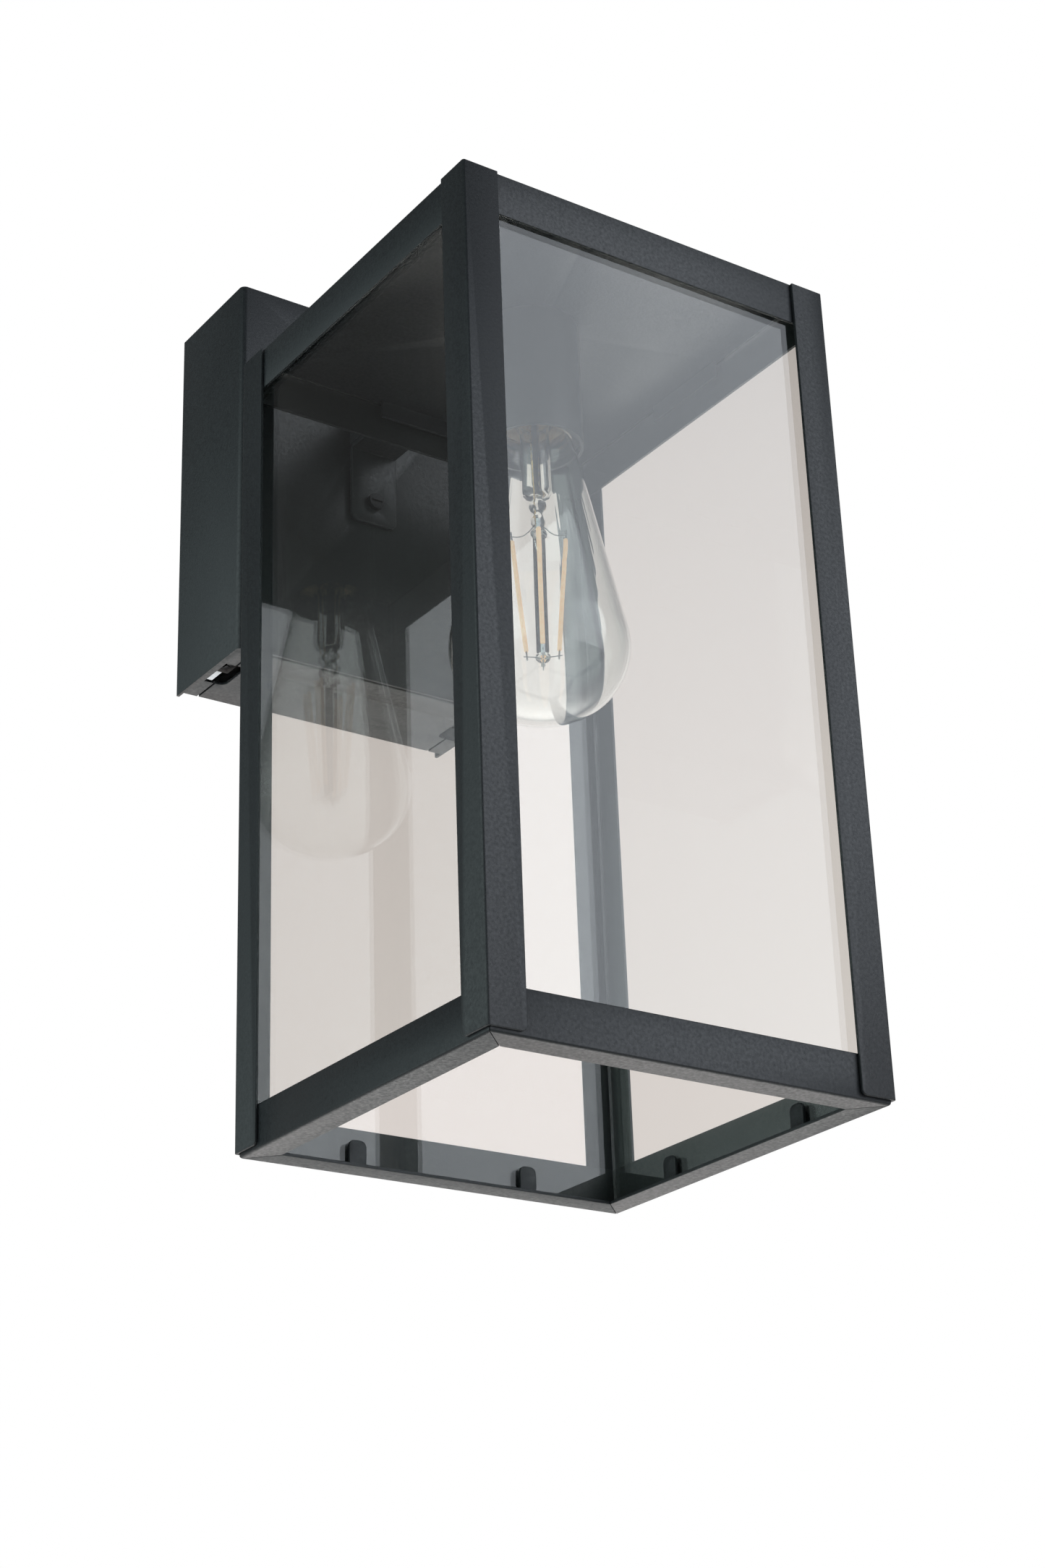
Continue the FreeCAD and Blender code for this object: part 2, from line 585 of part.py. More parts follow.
makeBracket()
makeBoxShell()
makeBoxFloor()
for side, sign in (("left", -1), ("right", 1)):
    makeLug(side, sign)
    makeClampScrew(side, sign)
    makeClampNut(side, sign)

# ------------------------------ arm

STRIP_Z = "(lantern_top + seam)"
STRIP_TOP = "(lantern_top + seam + arm_sheet)"
ARM_FACE = "(box_depth + seam)"
ARM_END = "(-%s + arm_reach)" % AXIS_Y


def makeArmStrip():
    """Strip with a tongue on the box front, bent forward over the lantern's roof."""
    body = newBody("arm_strip")
    section = newSketch(body, "YZ")
    outline(section, [("-" + ARM_FACE, STRIP_TOP), ("-" + ARM_FACE, "lantern_top - arm_tongue"),
                      ("-%s - arm_sheet" % ARM_FACE, "lantern_top - arm_tongue"),
                      ("-%s - arm_sheet" % ARM_FACE, STRIP_Z), ("-" + ARM_END, STRIP_Z),
                      ("-" + ARM_END, STRIP_TOP)])
    pad(body, section, "arm_width", middle=True)
    roundEdges(body, "arm_sheet + fit_gap", lambda m, d: near(m.z, STRIP_TOP) and near(m.y, "-" + ARM_FACE))
    roundEdges(body, "fit_gap", lambda m, d: near(m.z, STRIP_Z) and near(m.y, "-%s - arm_sheet" % ARM_FACE))
    roundEdges(body, "corner_round", lambda m, d: abs(d.y) > 0.9 and near(m.z, "lantern_top - arm_tongue"))
    roundEdges(body, "corner_round", lambda m, d: abs(d.z) > 0.9 and near(m.y, "-" + ARM_END))
    screwHole = newSketch(body, "XZ", ARM_FACE)
    circle(screwHole, "arm_screw_radius + turn_play", y=ARM_SCREW_Z[0])
    pocket(body, screwHole, "arm_sheet * 4", middle=True)
    nippleHole = newSketch(body, "XY", STRIP_Z)
    circle(nippleHole, "nipple_radius + turn_play", y=AXIS_Y)
    pocket(body, nippleHole, "arm_sheet * 4", middle=True)


def makeArmChannel():
    """Channel over the strip that hides the leads, with its end turned up on the box front."""
    body = newBody("arm_channel")
    base = "(%s + seam)" % STRIP_TOP
    crown = "(%s + channel_height)" % base
    half = "(arm_width / 2)"
    inner = "(arm_width / 2 - channel_sheet)"
    section = newSketch(body, "XZ", ARM_FACE)
    outline(section, [("-" + half, base), ("-" + inner, base), ("-" + inner, crown + " - channel_sheet"),
                      (inner, crown + " - channel_sheet"), (inner, base), (half, base), (half, crown),
                      ("-" + half, crown)])
    pad(body, section, "%s - %s" % (ARM_END, ARM_FACE))
    roundEdges(body, "channel_sheet", lambda m, d: abs(d.y) > 0.9 and near(m.z, crown))
    end = newSketch(body, "XZ", ARM_END + " - channel_sheet")
    box(end, "-" + inner, inner, base, crown + " - channel_sheet")
    pad(body, end, "channel_sheet")
    flange = newSketch(body, "XZ", ARM_FACE)
    box(flange, "-" + half, half, base + " + arm_sheet + fit_gap", crown + " + channel_flange")
    pad(body, flange, "channel_sheet")
    roundEdges(body, "corner_round", lambda m, d: abs(d.y) > 0.9 and near(m.z, crown + " + channel_flange"))
    holes = newSketch(body, "XZ", ARM_FACE)
    circle(holes, "lead_hole_radius", y=CHANNEL_Z)
    circle(holes, "arm_screw_radius + turn_play", y=ARM_SCREW_Z[1])
    pocket(body, holes, "channel_sheet * 4", middle=True)


def makeScrewGroup(label, places, face, headRadius, headHeight, radius, length):
    """Pan head screws along Y whose heads sit on the plane Y = -face, one slot in each."""
    body = newBody(label)
    body.AllowCompound = True
    heads = newSketch(body, "XZ", face)
    for x, z in places:
        circle(heads, headRadius, x, z)
    pad(body, heads, headHeight)
    shanks = newSketch(body, "XZ", "%s + %s / 2" % (face, headHeight))
    for x, z in places:
        circle(shanks, radius, x, z)
    pad(body, shanks, "%s + %s / 2" % (length, headHeight), turned=True)
    slots = newSketch(body, "XZ", "%s + %s" % (face, headHeight))
    for x, z in places:
        box(slots, "%s - %s * 0.75" % (x, headRadius), "%s + %s * 0.75" % (x, headRadius),
            "%s - %s * 0.14" % (z, headRadius), "%s + %s * 0.14" % (z, headRadius))
    pocket(body, slots, "%s * 0.8" % headHeight, middle=True)


def makeArmNuts():
    body = newBody("arm_nuts")
    body.AllowCompound = True
    sketch = newSketch(body, "XZ", "box_depth - sheet - seam - clamp_nut_height")
    half = "clamp_nut_across / 2"
    for height in ARM_SCREW_Z:
        box(sketch, "-" + half, half, "%s - %s" % (height, half), "%s + %s" % (height, half))
        circle(sketch, "arm_screw_radius + turn_play", y=height)
    pad(body, sketch, "clamp_nut_height")


def makeGrommet(label, height, rear, hole, bore, plate, lipStart):
    """Rubber ring through a plate, with one lip; rear is the plate's rear face."""
    body = newBody(label, ("0", rear, height))
    barrel = newSketch(body, "XZ", "-seam")
    circle(barrel, hole + " - turn_play")
    circle(barrel, bore)
    pad(body, barrel, plate + " + 2 * seam")
    lip = newSketch(body, "XZ", lipStart)
    circle(lip, hole + " + grommet_lip")
    circle(lip, bore)
    pad(body, lip, "grommet_lip")


def rod(label, start, end, radius):
    """A plain round bar between two places."""
    bar = doc.addObject("Part::Cylinder", label)
    bar.setExpression("Radius", bind(radius))
    bar.Height = (end - start).Length
    bar.Placement = FreeCAD.Placement(start, FreeCAD.Rotation(FreeCAD.Vector(0, 0, 1), end - start))
    return bar


def group(label, members):
    """Separate equal pieces that share one node."""
    item = doc.addObject("Part::Compound", label)
    item.Label = label
    item.Links = members
    subParts.append(item)


makeArmStrip()
makeArmChannel()
makeArmNuts()
makeScrewGroup("arm_screw_lower", [("0", ARM_SCREW_Z[0])], ARM_FACE + " + arm_sheet + seam",
               "arm_head_radius", "arm_head_height", "arm_screw_radius",
               "arm_sheet + sheet + clamp_nut_height + screw_tail")
makeScrewGroup("arm_screw_upper", [("0", ARM_SCREW_Z[1])], ARM_FACE + " + channel_sheet + seam",
               "arm_head_radius", "arm_head_height", "arm_screw_radius",
               "channel_sheet + sheet + clamp_nut_height + screw_tail")
makeGrommet("cable_grommet", "-cable_hole_z", "-seam", "cable_hole_radius", "cable_bore_radius",
            "bracket_sheet", "bracket_sheet + seam")
makeGrommet("lead_grommet", CHANNEL_Z, "-(box_depth - sheet)", "lead_hole_radius", "lead_grommet_bore",
            "sheet", "-seam - grommet_lip")

# ------------------------------ lampholder, drawn from the lantern's top down


def holderBody(label):
    return newBody(label, ("0", AXIS_Y, "lantern_top"))


def hexagon(sketch, across):
    outline(sketch, [("%s / sqrt(3) * cos(%d)" % (across, turn), "%s / sqrt(3) * sin(%d)" % (across, turn))
                     for turn in range(0, 360, 60)])


def makeNipple():
    """Threaded tube that clamps arm, roof and sleeve together; the leads run down it."""
    body = holderBody("holder_nipple")
    sketch = newSketch(body, "XY", "-holder_top - holder_floor + nipple_recess")
    circle(sketch, "nipple_radius")
    circle(sketch, "nipple_radius - nipple_wall")
    pad(body, sketch, "holder_top + holder_floor - nipple_recess + 2 * seam + arm_sheet"
        " + nipple_nut_height + nipple_tail")
    upperAcross = "(arm_width / 2 - channel_sheet - nipple_nut_play) * sqrt(3)"
    for label, height, across in (
            ("nipple_nut_upper", "2 * seam + arm_sheet", upperAcross),
            ("nipple_nut_lower", "-sheet - 2 * seam - sleeve_wall - nipple_nut_height", "nipple_nut_across")):
        nut = holderBody(label)
        face = newSketch(nut, "XY", height)
        hexagon(face, across)
        circle(face, "nipple_radius + turn_play")
        pad(nut, face, "nipple_nut_height")


def makeSleeve():
    body = holderBody("holder_sleeve")
    roof = "-sheet - seam"
    section = newSketch(body, "XZ")
    outline(section, [("nipple_radius + turn_play", roof), ("sleeve_radius", roof),
                      ("sleeve_radius", roof + " - sleeve_length"),
                      ("sleeve_radius - sleeve_wall", roof + " - sleeve_length"),
                      ("sleeve_radius - sleeve_wall", roof + " - sleeve_wall"),
                      ("nipple_radius + turn_play", roof + " - sleeve_wall")])
    revolve(body, section)


SOCKET_OUT = "(socket_radius + socket_wall + seam)"
SHELL_TOP = "(-holder_top - holder_floor - shell_drop)"


def makeHolderBody():
    """Insulating body inside the sleeve; the threaded shell sits in its bore."""
    body = holderBody("holder_body")
    outer = "(sleeve_radius - sleeve_wall - fit_gap)"
    foot = "(-holder_top - holder_length)"
    section = newSketch(body, "XZ")
    outline(section, [("nipple_radius + turn_play", "-holder_top"), (outer, "-holder_top"), (outer, foot),
                      (SOCKET_OUT, foot), (SOCKET_OUT, "-holder_top - holder_floor"),
                      ("nipple_radius + turn_play", "-holder_top - holder_floor")])
    revolve(body, section)


def makeHolderContact():
    """Round spring leaf with a raised middle that the bulb's contact meets."""
    body = holderBody("holder_contact")
    top = "(-holder_top - holder_floor - seam)"
    foot = "(bulb_length - bulb_tip_drop + fit_gap)"
    section = newSketch(body, "XZ")
    outline(section, [("0", top), ("nipple_radius + leaf_rim", top),
                      ("nipple_radius + leaf_rim", top + " - leaf_thickness"),
                      ("nipple_radius", top + " - leaf_thickness"), ("nipple_radius - leaf_slope", foot),
                      ("0", foot)])
    revolve(body, section)


def addThread(body, radiusOut, radiusIn, baseHalf, crestHalf, start):
    """Helical ridge from radiusOut (inside the wall) to its crest at radiusIn."""
    ridge = newSketch(body, "XZ")
    outline(ridge, [(radiusOut, "%s - %s" % (start, baseHalf)),
                    (radiusIn, "%s - %s" % (start, crestHalf)),
                    (radiusIn, "%s + %s" % (start, crestHalf)),
                    (radiusOut, "%s + %s" % (start, baseHalf))])
    helix = body.newObject("PartDesign::AdditiveHelix", body.Label + "_thread")
    helix.Profile = ridge
    helix.ReferenceAxis = (ridge, ["V_Axis"])
    helix.Mode = 0
    helix.setExpression("Pitch", bind("thread_pitch"))
    helix.setExpression("Height", bind("thread_pitch * thread_turns"))
    doc.recompute()


CAP_TOP = "(bulb_length - contact_height - insulator_height)"
CAP_FOOT = "(%s - cap_length)" % CAP_TOP
THREAD_START = "(%s + cap_skirt_length + thread_lead_in)" % CAP_FOOT


def makeHolderShell():
    """Rolled shell whose inward ridge runs half a pitch away from the bulb's ridge."""
    body = holderBody("holder_shell")
    section = newSketch(body, "XZ")
    foot = "(-holder_top - holder_length + shell_recess)"
    outline(section, [("socket_radius", SHELL_TOP), ("socket_radius + socket_wall", SHELL_TOP),
                      ("socket_radius + socket_wall", foot), ("socket_radius", foot)])
    revolve(body, section)
    addThread(body, "socket_radius + socket_wall / 2", "cap_radius - thread_depth + thread_play",
              "shell_ridge / 2", "shell_crest / 2", "(%s + thread_pitch / 2 - bulb_tip_drop)" % THREAD_START)


makeNipple()
makeSleeve()
makeHolderBody()
makeHolderContact()
makeHolderShell()

# ------------------------------ bulb, drawn upwards from its tip


def bulbBody(label):
    return newBody(label, ("0", AXIS_Y, "lantern_top - bulb_tip_drop"))


def curvedOutline(sketch, steps):
    """Closed outline: (x, y) starts a straight run, (x, y, centre x, centre y, radius) starts an arc."""
    first = sketch.GeometryCount
    count = len(steps)
    for i, step in enumerate(steps):
        here = FreeCAD.Vector(value(step[0]), value(step[1]), 0)
        following = steps[(i + 1) % count]
        there = FreeCAD.Vector(value(following[0]), value(following[1]), 0)
        if len(step) == 2:
            sketch.addGeometry(Part.LineSegment(here, there), False)
            continue
        centre = FreeCAD.Vector(value(step[2]), value(step[3]), 0)
        reach = value(step[4])
        middle = centre + ((here + there) * 0.5 - centre).normalize() * reach
        sketch.addGeometry(Part.Arc(here, middle, there), False)
    for i, step in enumerate(steps):
        start, end = joints(sketch, first + i, step)
        following = (i + 1) % count
        nextStart = joints(sketch, first + following, steps[following])[0]
        sketch.addConstraint(Sketcher.Constraint("Coincident", first + i, end, first + following, nextStart))
        pin(sketch, first + i, start, step[0], step[1])
        if len(step) == 5:
            size = sketch.addConstraint(Sketcher.Constraint("Radius", first + i, value(step[4])))
            sketch.setExpression("Constraints[%d]" % size, bind(step[4]))


def joints(sketch, index, step):
    """Which vertex of a piece is its start and which its end: arcs always run anticlockwise."""
    here = FreeCAD.Vector(value(step[0]), value(step[1]), 0)
    if (sketch.getPoint(index, 1) - here).Length < 0.001:
        return 1, 2
    return 2, 1


def bulbProfile(wall):
    """Half profile from the tip to the neck, moved in by the wall."""
    tipX = "(bulb_radius - bulb_shoulder_radius)"
    rise = "(bulb_tip_radius - bulb_shoulder_radius)"
    shoulderZ = "(bulb_tip_radius - sqrt(%s ^ 2 - %s ^ 2))" % (rise, tipX)
    tipReach = "(bulb_tip_radius - %s)" % wall
    shoulderReach = "(bulb_shoulder_radius - %s)" % wall
    neckReach = "(neck_shoulder_radius - %s)" % wall
    hollowReach = "(neck_hollow_radius + %s)" % wall
    both = "(neck_hollow_radius + neck_shoulder_radius)"
    cosine, sine = "cos(bulb_cone_angle)", "sin(bulb_cone_angle)"
    hollowX = "(neck_radius + neck_hollow_radius)"
    neckX = "(%s - %s * cos(neck_flare_angle))" % (hollowX, both)
    coneTop = "(%s + bulb_shoulder_radius * %s - %s - neck_shoulder_radius * %s)" % (
        tipX, cosine, neckX, cosine)
    neckZ = "(%s + (bulb_shoulder_radius - neck_shoulder_radius) * %s + %s / tan(bulb_cone_angle))" % (
        shoulderZ, sine, coneTop)
    hollowZ = "(%s + %s * sin(neck_flare_angle))" % (neckZ, both)
    return [
        ("0", wall, "0", "bulb_tip_radius", tipReach),
        ("%s * %s / %s" % (tipReach, tipX, rise),
         "bulb_tip_radius - %s * (bulb_tip_radius - %s) / %s" % (tipReach, shoulderZ, rise),
         tipX, shoulderZ, shoulderReach),
        ("%s + %s * %s" % (tipX, shoulderReach, cosine), "%s + %s * %s" % (shoulderZ, shoulderReach, sine)),
        ("%s + %s * %s" % (neckX, neckReach, cosine), "%s + %s * %s" % (neckZ, neckReach, sine),
         neckX, neckZ, neckReach),
        ("%s + %s * cos(neck_flare_angle)" % (neckX, neckReach),
         "%s + %s * sin(neck_flare_angle)" % (neckZ, neckReach), hollowX, hollowZ, hollowReach),
        ("neck_radius - %s" % wall, hollowZ),
        ("neck_radius - %s" % wall, CAP_TOP + " - neck_end"),
    ]


def makeBulbGlass():
    body = bulbBody("bulb_glass")
    outer = bulbProfile("0")
    inner = bulbProfile("bulb_wall")
    back = []
    for i in range(len(inner) - 1, -1, -1):
        x, y = inner[i][:2]
        arc = inner[i - 1][2:] if i > 0 else ()
        back.append((x, y) + tuple(arc))
    section = newSketch(body, "XZ")
    curvedOutline(section, outer + back)
    revolve(body, section)


def makeCap():
    """Thin metal cap: plain skirt, threaded part, shoulder; cement fills the shoulder above the neck."""
    body = bulbBody("bulb_cap")
    root = "(cap_radius - thread_depth)"
    step = "(%s + cap_skirt_length)" % CAP_FOOT
    top = "(%s - cap_end_length)" % CAP_TOP
    section = newSketch(body, "XZ")
    outline(section, [("cap_skirt_radius", CAP_FOOT), ("cap_skirt_radius", step),
                      (root, step + " + cap_wall"), (root, top), ("cap_end_radius", CAP_TOP),
                      ("cap_end_radius - cap_wall", CAP_TOP),
                      (root + " - cap_wall", top), (root + " - cap_wall", step + " + cap_wall"),
                      ("cap_skirt_radius - cap_wall", step), ("cap_skirt_radius - cap_wall", CAP_FOOT)])
    revolve(body, section)
    addThread(body, root + " - cap_wall / 2", "cap_radius", "cap_ridge / 2", "cap_crest / 2", THREAD_START)
    cement = bulbBody("cap_cement")
    ring = newSketch(cement, "XZ")
    outer = root + " - cap_wall - seam"
    neck = CAP_TOP + " - neck_end + seam"
    outline(ring, [("cap_end_radius", neck), (outer, neck), (outer, top), ("cap_end_radius", top)])
    revolve(cement, ring)


def makeBulbFoot():
    insulator = bulbBody("bulb_insulator")
    ring = newSketch(insulator, "XZ")
    outline(ring, [("0", CAP_TOP + " + seam"), ("cap_end_radius", CAP_TOP + " + seam"),
                   ("contact_radius + contact_margin", "bulb_length - contact_height"),
                   ("0", "bulb_length - contact_height")])
    revolve(insulator, ring)
    contact = bulbBody("bulb_contact")
    dome = newSketch(contact, "XZ")
    outline(dome, [("0", "bulb_length - contact_height + seam"),
                   ("contact_radius", "bulb_length - contact_height + seam"),
                   ("contact_radius * 0.8", "bulb_length - contact_height / 3"),
                   ("contact_radius * 0.4", "bulb_length"), ("0", "bulb_length")])
    revolve(contact, dome)


def stickHeights():
    """Upper and lower ends of the leaning sticks, from the lantern's top."""
    top = value("-filament_drop")
    lean = value("filament_top_spread - filament_foot_spread")
    return top, top - math.sqrt(value("filament_length") ** 2 - lean ** 2)


def makeStem():
    """Glass tube with a flared foot, a flattened end that holds the wires, and a rod with a bead."""
    body = bulbBody("bulb_stem")
    end = "(bulb_tip_drop - stem_end_drop)"
    press = "(%s - press_length)" % end
    flare = "(%s + flare_rise)" % CAP_FOOT
    lean = "(filament_top_spread - filament_foot_spread)"
    bead = "(bulb_tip_drop - filament_drop - sqrt(filament_length ^ 2 - %s ^ 2) - bead_drop)" % lean
    section = newSketch(body, "XZ")
    outline(section, [("0", bead + " - bead_height / 2"), ("bead_radius * 0.6", bead + " - bead_height / 2"),
                      ("bead_radius", bead + " - bead_height / 5"),
                      ("bead_radius", bead + " + bead_height / 5"),
                      ("rod_radius", bead + " + bead_height / 2"), ("rod_radius", press),
                      ("press_radius", press + " + press_slope"), ("press_radius", end + " - press_slope"),
                      ("stem_radius", end + " + press_slope"), ("stem_radius", flare + " - flare_length"),
                      ("stem_radius + flare_bulge", flare + " - flare_length / 2"),
                      ("neck_radius - bulb_wall - seam", flare),
                      ("neck_radius - bulb_wall - seam - bulb_wall", flare + " + bulb_wall"),
                      ("stem_radius + flare_bulge - bulb_wall", flare + " - flare_length / 2 + bulb_wall"),
                      ("stem_radius - bulb_wall", flare + " - flare_length"),
                      ("stem_radius - bulb_wall", end + " + press_slope"), ("0", end)])
    revolve(body, section)


def makeFilaments():
    """Straight coated sticks that lean in towards the tip, and the wires that hold them."""
    sticks, wires = [], []
    centre = FreeCAD.Vector(0, value(AXIS_Y), value("lantern_top"))
    top, foot = stickHeights()
    count = int(value("filament_count"))
    press = value("-stem_end_drop - press_length")
    for i in range(count):
        angle = math.radians(value("filament_turn") + i * 360 / count - 90)
        out = FreeCAD.Vector(math.cos(angle), math.sin(angle), 0)
        high = centre + out * value("filament_top_spread") + FreeCAD.Vector(0, 0, top)
        low = centre + out * value("filament_foot_spread") + FreeCAD.Vector(0, 0, foot)
        sticks.append(rod("stick_%d" % i, high, low, "filament_radius"))
        along = (high - low).normalize()
        hook = high + along * (value("filament_radius") * 2)
        pressPoint = centre + out * value("press_radius * 0.8")
        pressPoint.z += press + value("press_slope")
        wires.append(rod("upper_wire_%d" % i, pressPoint, hook, "wire_radius"))
        bead = centre + out * value("wire_radius * 3")
        bead.z += foot - value("bead_drop")
        wires.append(rod("lower_wire_%d" % i, bead, low - along * value("wire_radius * 2"), "wire_radius"))
    group("bulb_filaments", sticks)
    group("bulb_wires", wires)


makeBulbGlass()
makeCap()
makeBulbFoot()
makeStem()
makeFilaments()

# ------------------------------ wiring inside the box, arm and lampholder

POLES = ["-terminal_pitch", "0", "terminal_pitch"]
BLOCK_REAR = "(box_depth - sheet - fit_gap - terminal_depth)"
WIRE_Y = "(%s + terminal_depth / 2)" % BLOCK_REAR
BLOCK_TOP = "(-terminal_drop + terminal_height / 2)"


def makeTerminalBlock():
    """Three-pole block on the inside of the box front: leads from above, supply from below."""
    body = newBody("terminal_block", ("0", "0", "-terminal_drop"))
    outside = newSketch(body, "XY", "-terminal_height / 2")
    half = "(terminal_pitch * 1.5 + terminal_margin)"
    box(outside, "-" + half, half, "-%s - terminal_depth" % BLOCK_REAR, "-" + BLOCK_REAR)
    for x in POLES:
        circle(outside, "terminal_bore", x, "-" + WIRE_Y)
    pad(body, outside, "terminal_height")
    wells = newSketch(body, "XZ", BLOCK_REAR)
    for x in POLES:
        for z in ("terminal_height / 4", "-terminal_height / 4"):
            circle(wells, "terminal_well", x, z)
    pocket(body, wells, "terminal_depth * 0.6", middle=True)


def makeTerminalScrews():
    body = newBody("terminal_screws", ("0", "0", "-terminal_drop"))
    body.AllowCompound = True
    places = [(x, z) for x in POLES for z in ("terminal_height / 4", "-terminal_height / 4")]
    heads = newSketch(body, "XZ", BLOCK_REAR + " + terminal_screw_set")
    for x, z in places:
        circle(heads, "terminal_screw_radius", x, z)
    pad(body, heads, "terminal_screw_length")
    slots = newSketch(body, "XZ", BLOCK_REAR + " + terminal_screw_set")
    for x, z in places:
        box(slots, x + " - terminal_slot_length / 2", x + " + terminal_slot_length / 2",
            z + " - terminal_slot_width / 2", z + " + terminal_slot_width / 2")
    pocket(body, slots, "2 * terminal_slot_depth", middle=True)


def makeEarthStud():
    """Stud welded inside the box front, with a nut that holds the earth lead's ring."""
    at = ("box_width / 4", "-(box_depth - sheet)", "-terminal_drop + terminal_height")
    stud = newBody("earth_stud", at)
    shaft = newSketch(stud, "XZ", "-earth_stud_length")
    circle(shaft, "arm_screw_radius")
    pad(stud, shaft, "earth_stud_length - seam")
    ring = newBody("earth_ring", at)
    washer = newSketch(ring, "XZ", "-earth_ring_set - earth_ring_thickness")
    circle(washer, "arm_screw_radius * 2")
    circle(washer, "arm_screw_radius + turn_play")
    pad(ring, washer, "earth_ring_thickness")
    nut = newBody("earth_nut", at)
    face = newSketch(nut, "XZ", "-earth_ring_set - earth_ring_thickness - seam - clamp_nut_height")
    hexagon(face, "clamp_nut_across")
    circle(face, "arm_screw_radius + turn_play")
    pad(nut, face, "clamp_nut_height")


def leadRoute(label, points):
    """Straight runs joined by arcs as large as the two runs allow."""
    edges = []
    radii = []
    start = points[0]
    for i in range(1, len(points) - 1):
        before = (points[i] - points[i - 1])
        after = (points[i + 1] - points[i])
        turn = before.getAngle(after)
        shorter = min(before.Length, after.Length)
        radius = 0.45 * shorter / math.tan(turn / 2)
        radii.append(round(radius, 1))
        trim = radius * math.tan(turn / 2)
        enter = points[i] - before.normalize() * trim
        leave = points[i] + after.normalize() * trim
        inward = (after - before).normalize()
        middle = points[i] + inward * (radius / math.cos(turn / 2) - radius)
        edges.append(Part.LineSegment(start, enter).toShape())
        edges.append(Part.Arc(enter, middle, leave).toShape())
        start = leave
    edges.append(Part.LineSegment(start, points[-1]).toShape())
    print(label, "bend radii", radii)
    return Part.Wire(edges)


def makeLead(label, points):
    route = leadRoute(label, [FreeCAD.Vector(*point) for point in points])
    profile = Part.Wire(Part.Circle(route.Edges[0].Vertexes[0].Point, route.Edges[0].tangentAt(0),
                                    value("lead_radius")).toShape())
    tube = route.makePipeShell([profile], True, False)
    expected = math.pi * value("lead_radius") ** 2 * route.Length
    if abs(tube.Volume - expected) > expected * 0.02:
        raise RuntimeError("bad sweep for " + label)
    lead = doc.addObject("Part::Feature", label)
    lead.Label = label
    lead.Shape = tube
    lead.Placement = FreeCAD.Placement()
    subParts.append(lead)


def makeLeads():
    """Live and neutral run up in the box, along the channel and down the nipple; earth stays in the box."""
    spread = value("lead_spread")
    pitch = value("terminal_pitch")
    block = value(BLOCK_TOP) + value("fit_gap")
    wireY = -value(WIRE_Y)
    channel = value(CHANNEL_Z)
    axis = value(AXIS_Y)
    front = -value("box_depth")
    top = value("lantern_top")
    roofRun = value(STRIP_TOP + " + channel_height - channel_sheet - lead_radius - lead_headroom")
    end = top + value("-holder_top - holder_floor + nipple_recess + lead_recess")
    for label, pole, side in (("lead_live", -pitch, -1), ("lead_neutral", 0, 1)):
        x = side * spread
        makeLead(label, [
            (pole, wireY, block),
            (pole * 0.7 + x * 0.6, wireY + 7, block + 20),
            (x, wireY + 6, channel - 1),
            (x, front - 22, channel + 0.4),
            (x, (front + axis) / 2 - 8, roofRun - 1.2),
            (x, axis, roofRun),
            (x * 1.05, axis - 0.3, top + 1),
            (x, axis, end),
        ])
    studX = value("box_width / 4")
    studZ = value("-terminal_drop + terminal_height")
    makeLead("lead_earth", [
        (pitch, wireY, block),
        (pitch + 2, wireY + 5, block + 16),
        (pitch + 14, wireY + 2, block + 24),
        (studX, front + value("sheet") + 4.6, studZ + value("arm_screw_radius * 2 + lead_radius")),
    ])


makeTerminalBlock()
makeTerminalScrews()
makeEarthStud()
makeLeads()

doc.recompute()
for item in doc.Objects:
    if "Invalid" in item.State or "Error" in item.State:
        raise RuntimeError("failed: " + item.Label)
for part in subParts:
    if part.Shape.isNull() or not part.Shape.isValid() or not part.Shape.Solids:
        raise RuntimeError("bad shape: " + part.Label)
for part in subParts:
    part.Shape.exportStep("parts/" + part.Label + ".step")
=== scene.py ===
import bpy
import bmesh
import json
import math
from mathutils import Matrix, Vector


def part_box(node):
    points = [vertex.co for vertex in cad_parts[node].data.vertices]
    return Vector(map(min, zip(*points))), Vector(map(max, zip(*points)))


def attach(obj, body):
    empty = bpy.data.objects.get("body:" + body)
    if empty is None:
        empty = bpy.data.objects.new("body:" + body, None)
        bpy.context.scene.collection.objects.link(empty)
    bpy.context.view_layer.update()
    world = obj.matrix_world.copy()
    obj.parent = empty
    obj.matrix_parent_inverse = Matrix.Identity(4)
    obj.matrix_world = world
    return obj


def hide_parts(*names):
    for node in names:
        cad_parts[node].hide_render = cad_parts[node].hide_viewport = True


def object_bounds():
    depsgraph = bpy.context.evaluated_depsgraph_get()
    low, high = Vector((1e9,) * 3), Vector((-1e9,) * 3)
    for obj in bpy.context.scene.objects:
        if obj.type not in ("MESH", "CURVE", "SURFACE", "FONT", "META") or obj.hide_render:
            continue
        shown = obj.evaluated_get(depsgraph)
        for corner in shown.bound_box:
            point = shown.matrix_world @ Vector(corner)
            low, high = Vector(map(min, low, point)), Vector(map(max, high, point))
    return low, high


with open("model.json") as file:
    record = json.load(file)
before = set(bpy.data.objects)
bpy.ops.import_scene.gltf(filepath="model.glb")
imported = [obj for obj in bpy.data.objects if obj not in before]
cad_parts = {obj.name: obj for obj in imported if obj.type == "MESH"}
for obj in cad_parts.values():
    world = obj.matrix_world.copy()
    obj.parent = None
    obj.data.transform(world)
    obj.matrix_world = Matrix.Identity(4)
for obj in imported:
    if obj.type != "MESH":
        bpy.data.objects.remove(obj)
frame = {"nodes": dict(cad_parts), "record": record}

cadLow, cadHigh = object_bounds()
nodes = frame["nodes"]
scene = bpy.context.scene
scene.view_settings.view_transform = "Standard"
mm = 0.001
print("frame loaded:", len(nodes), "nodes")


# colours and nodes

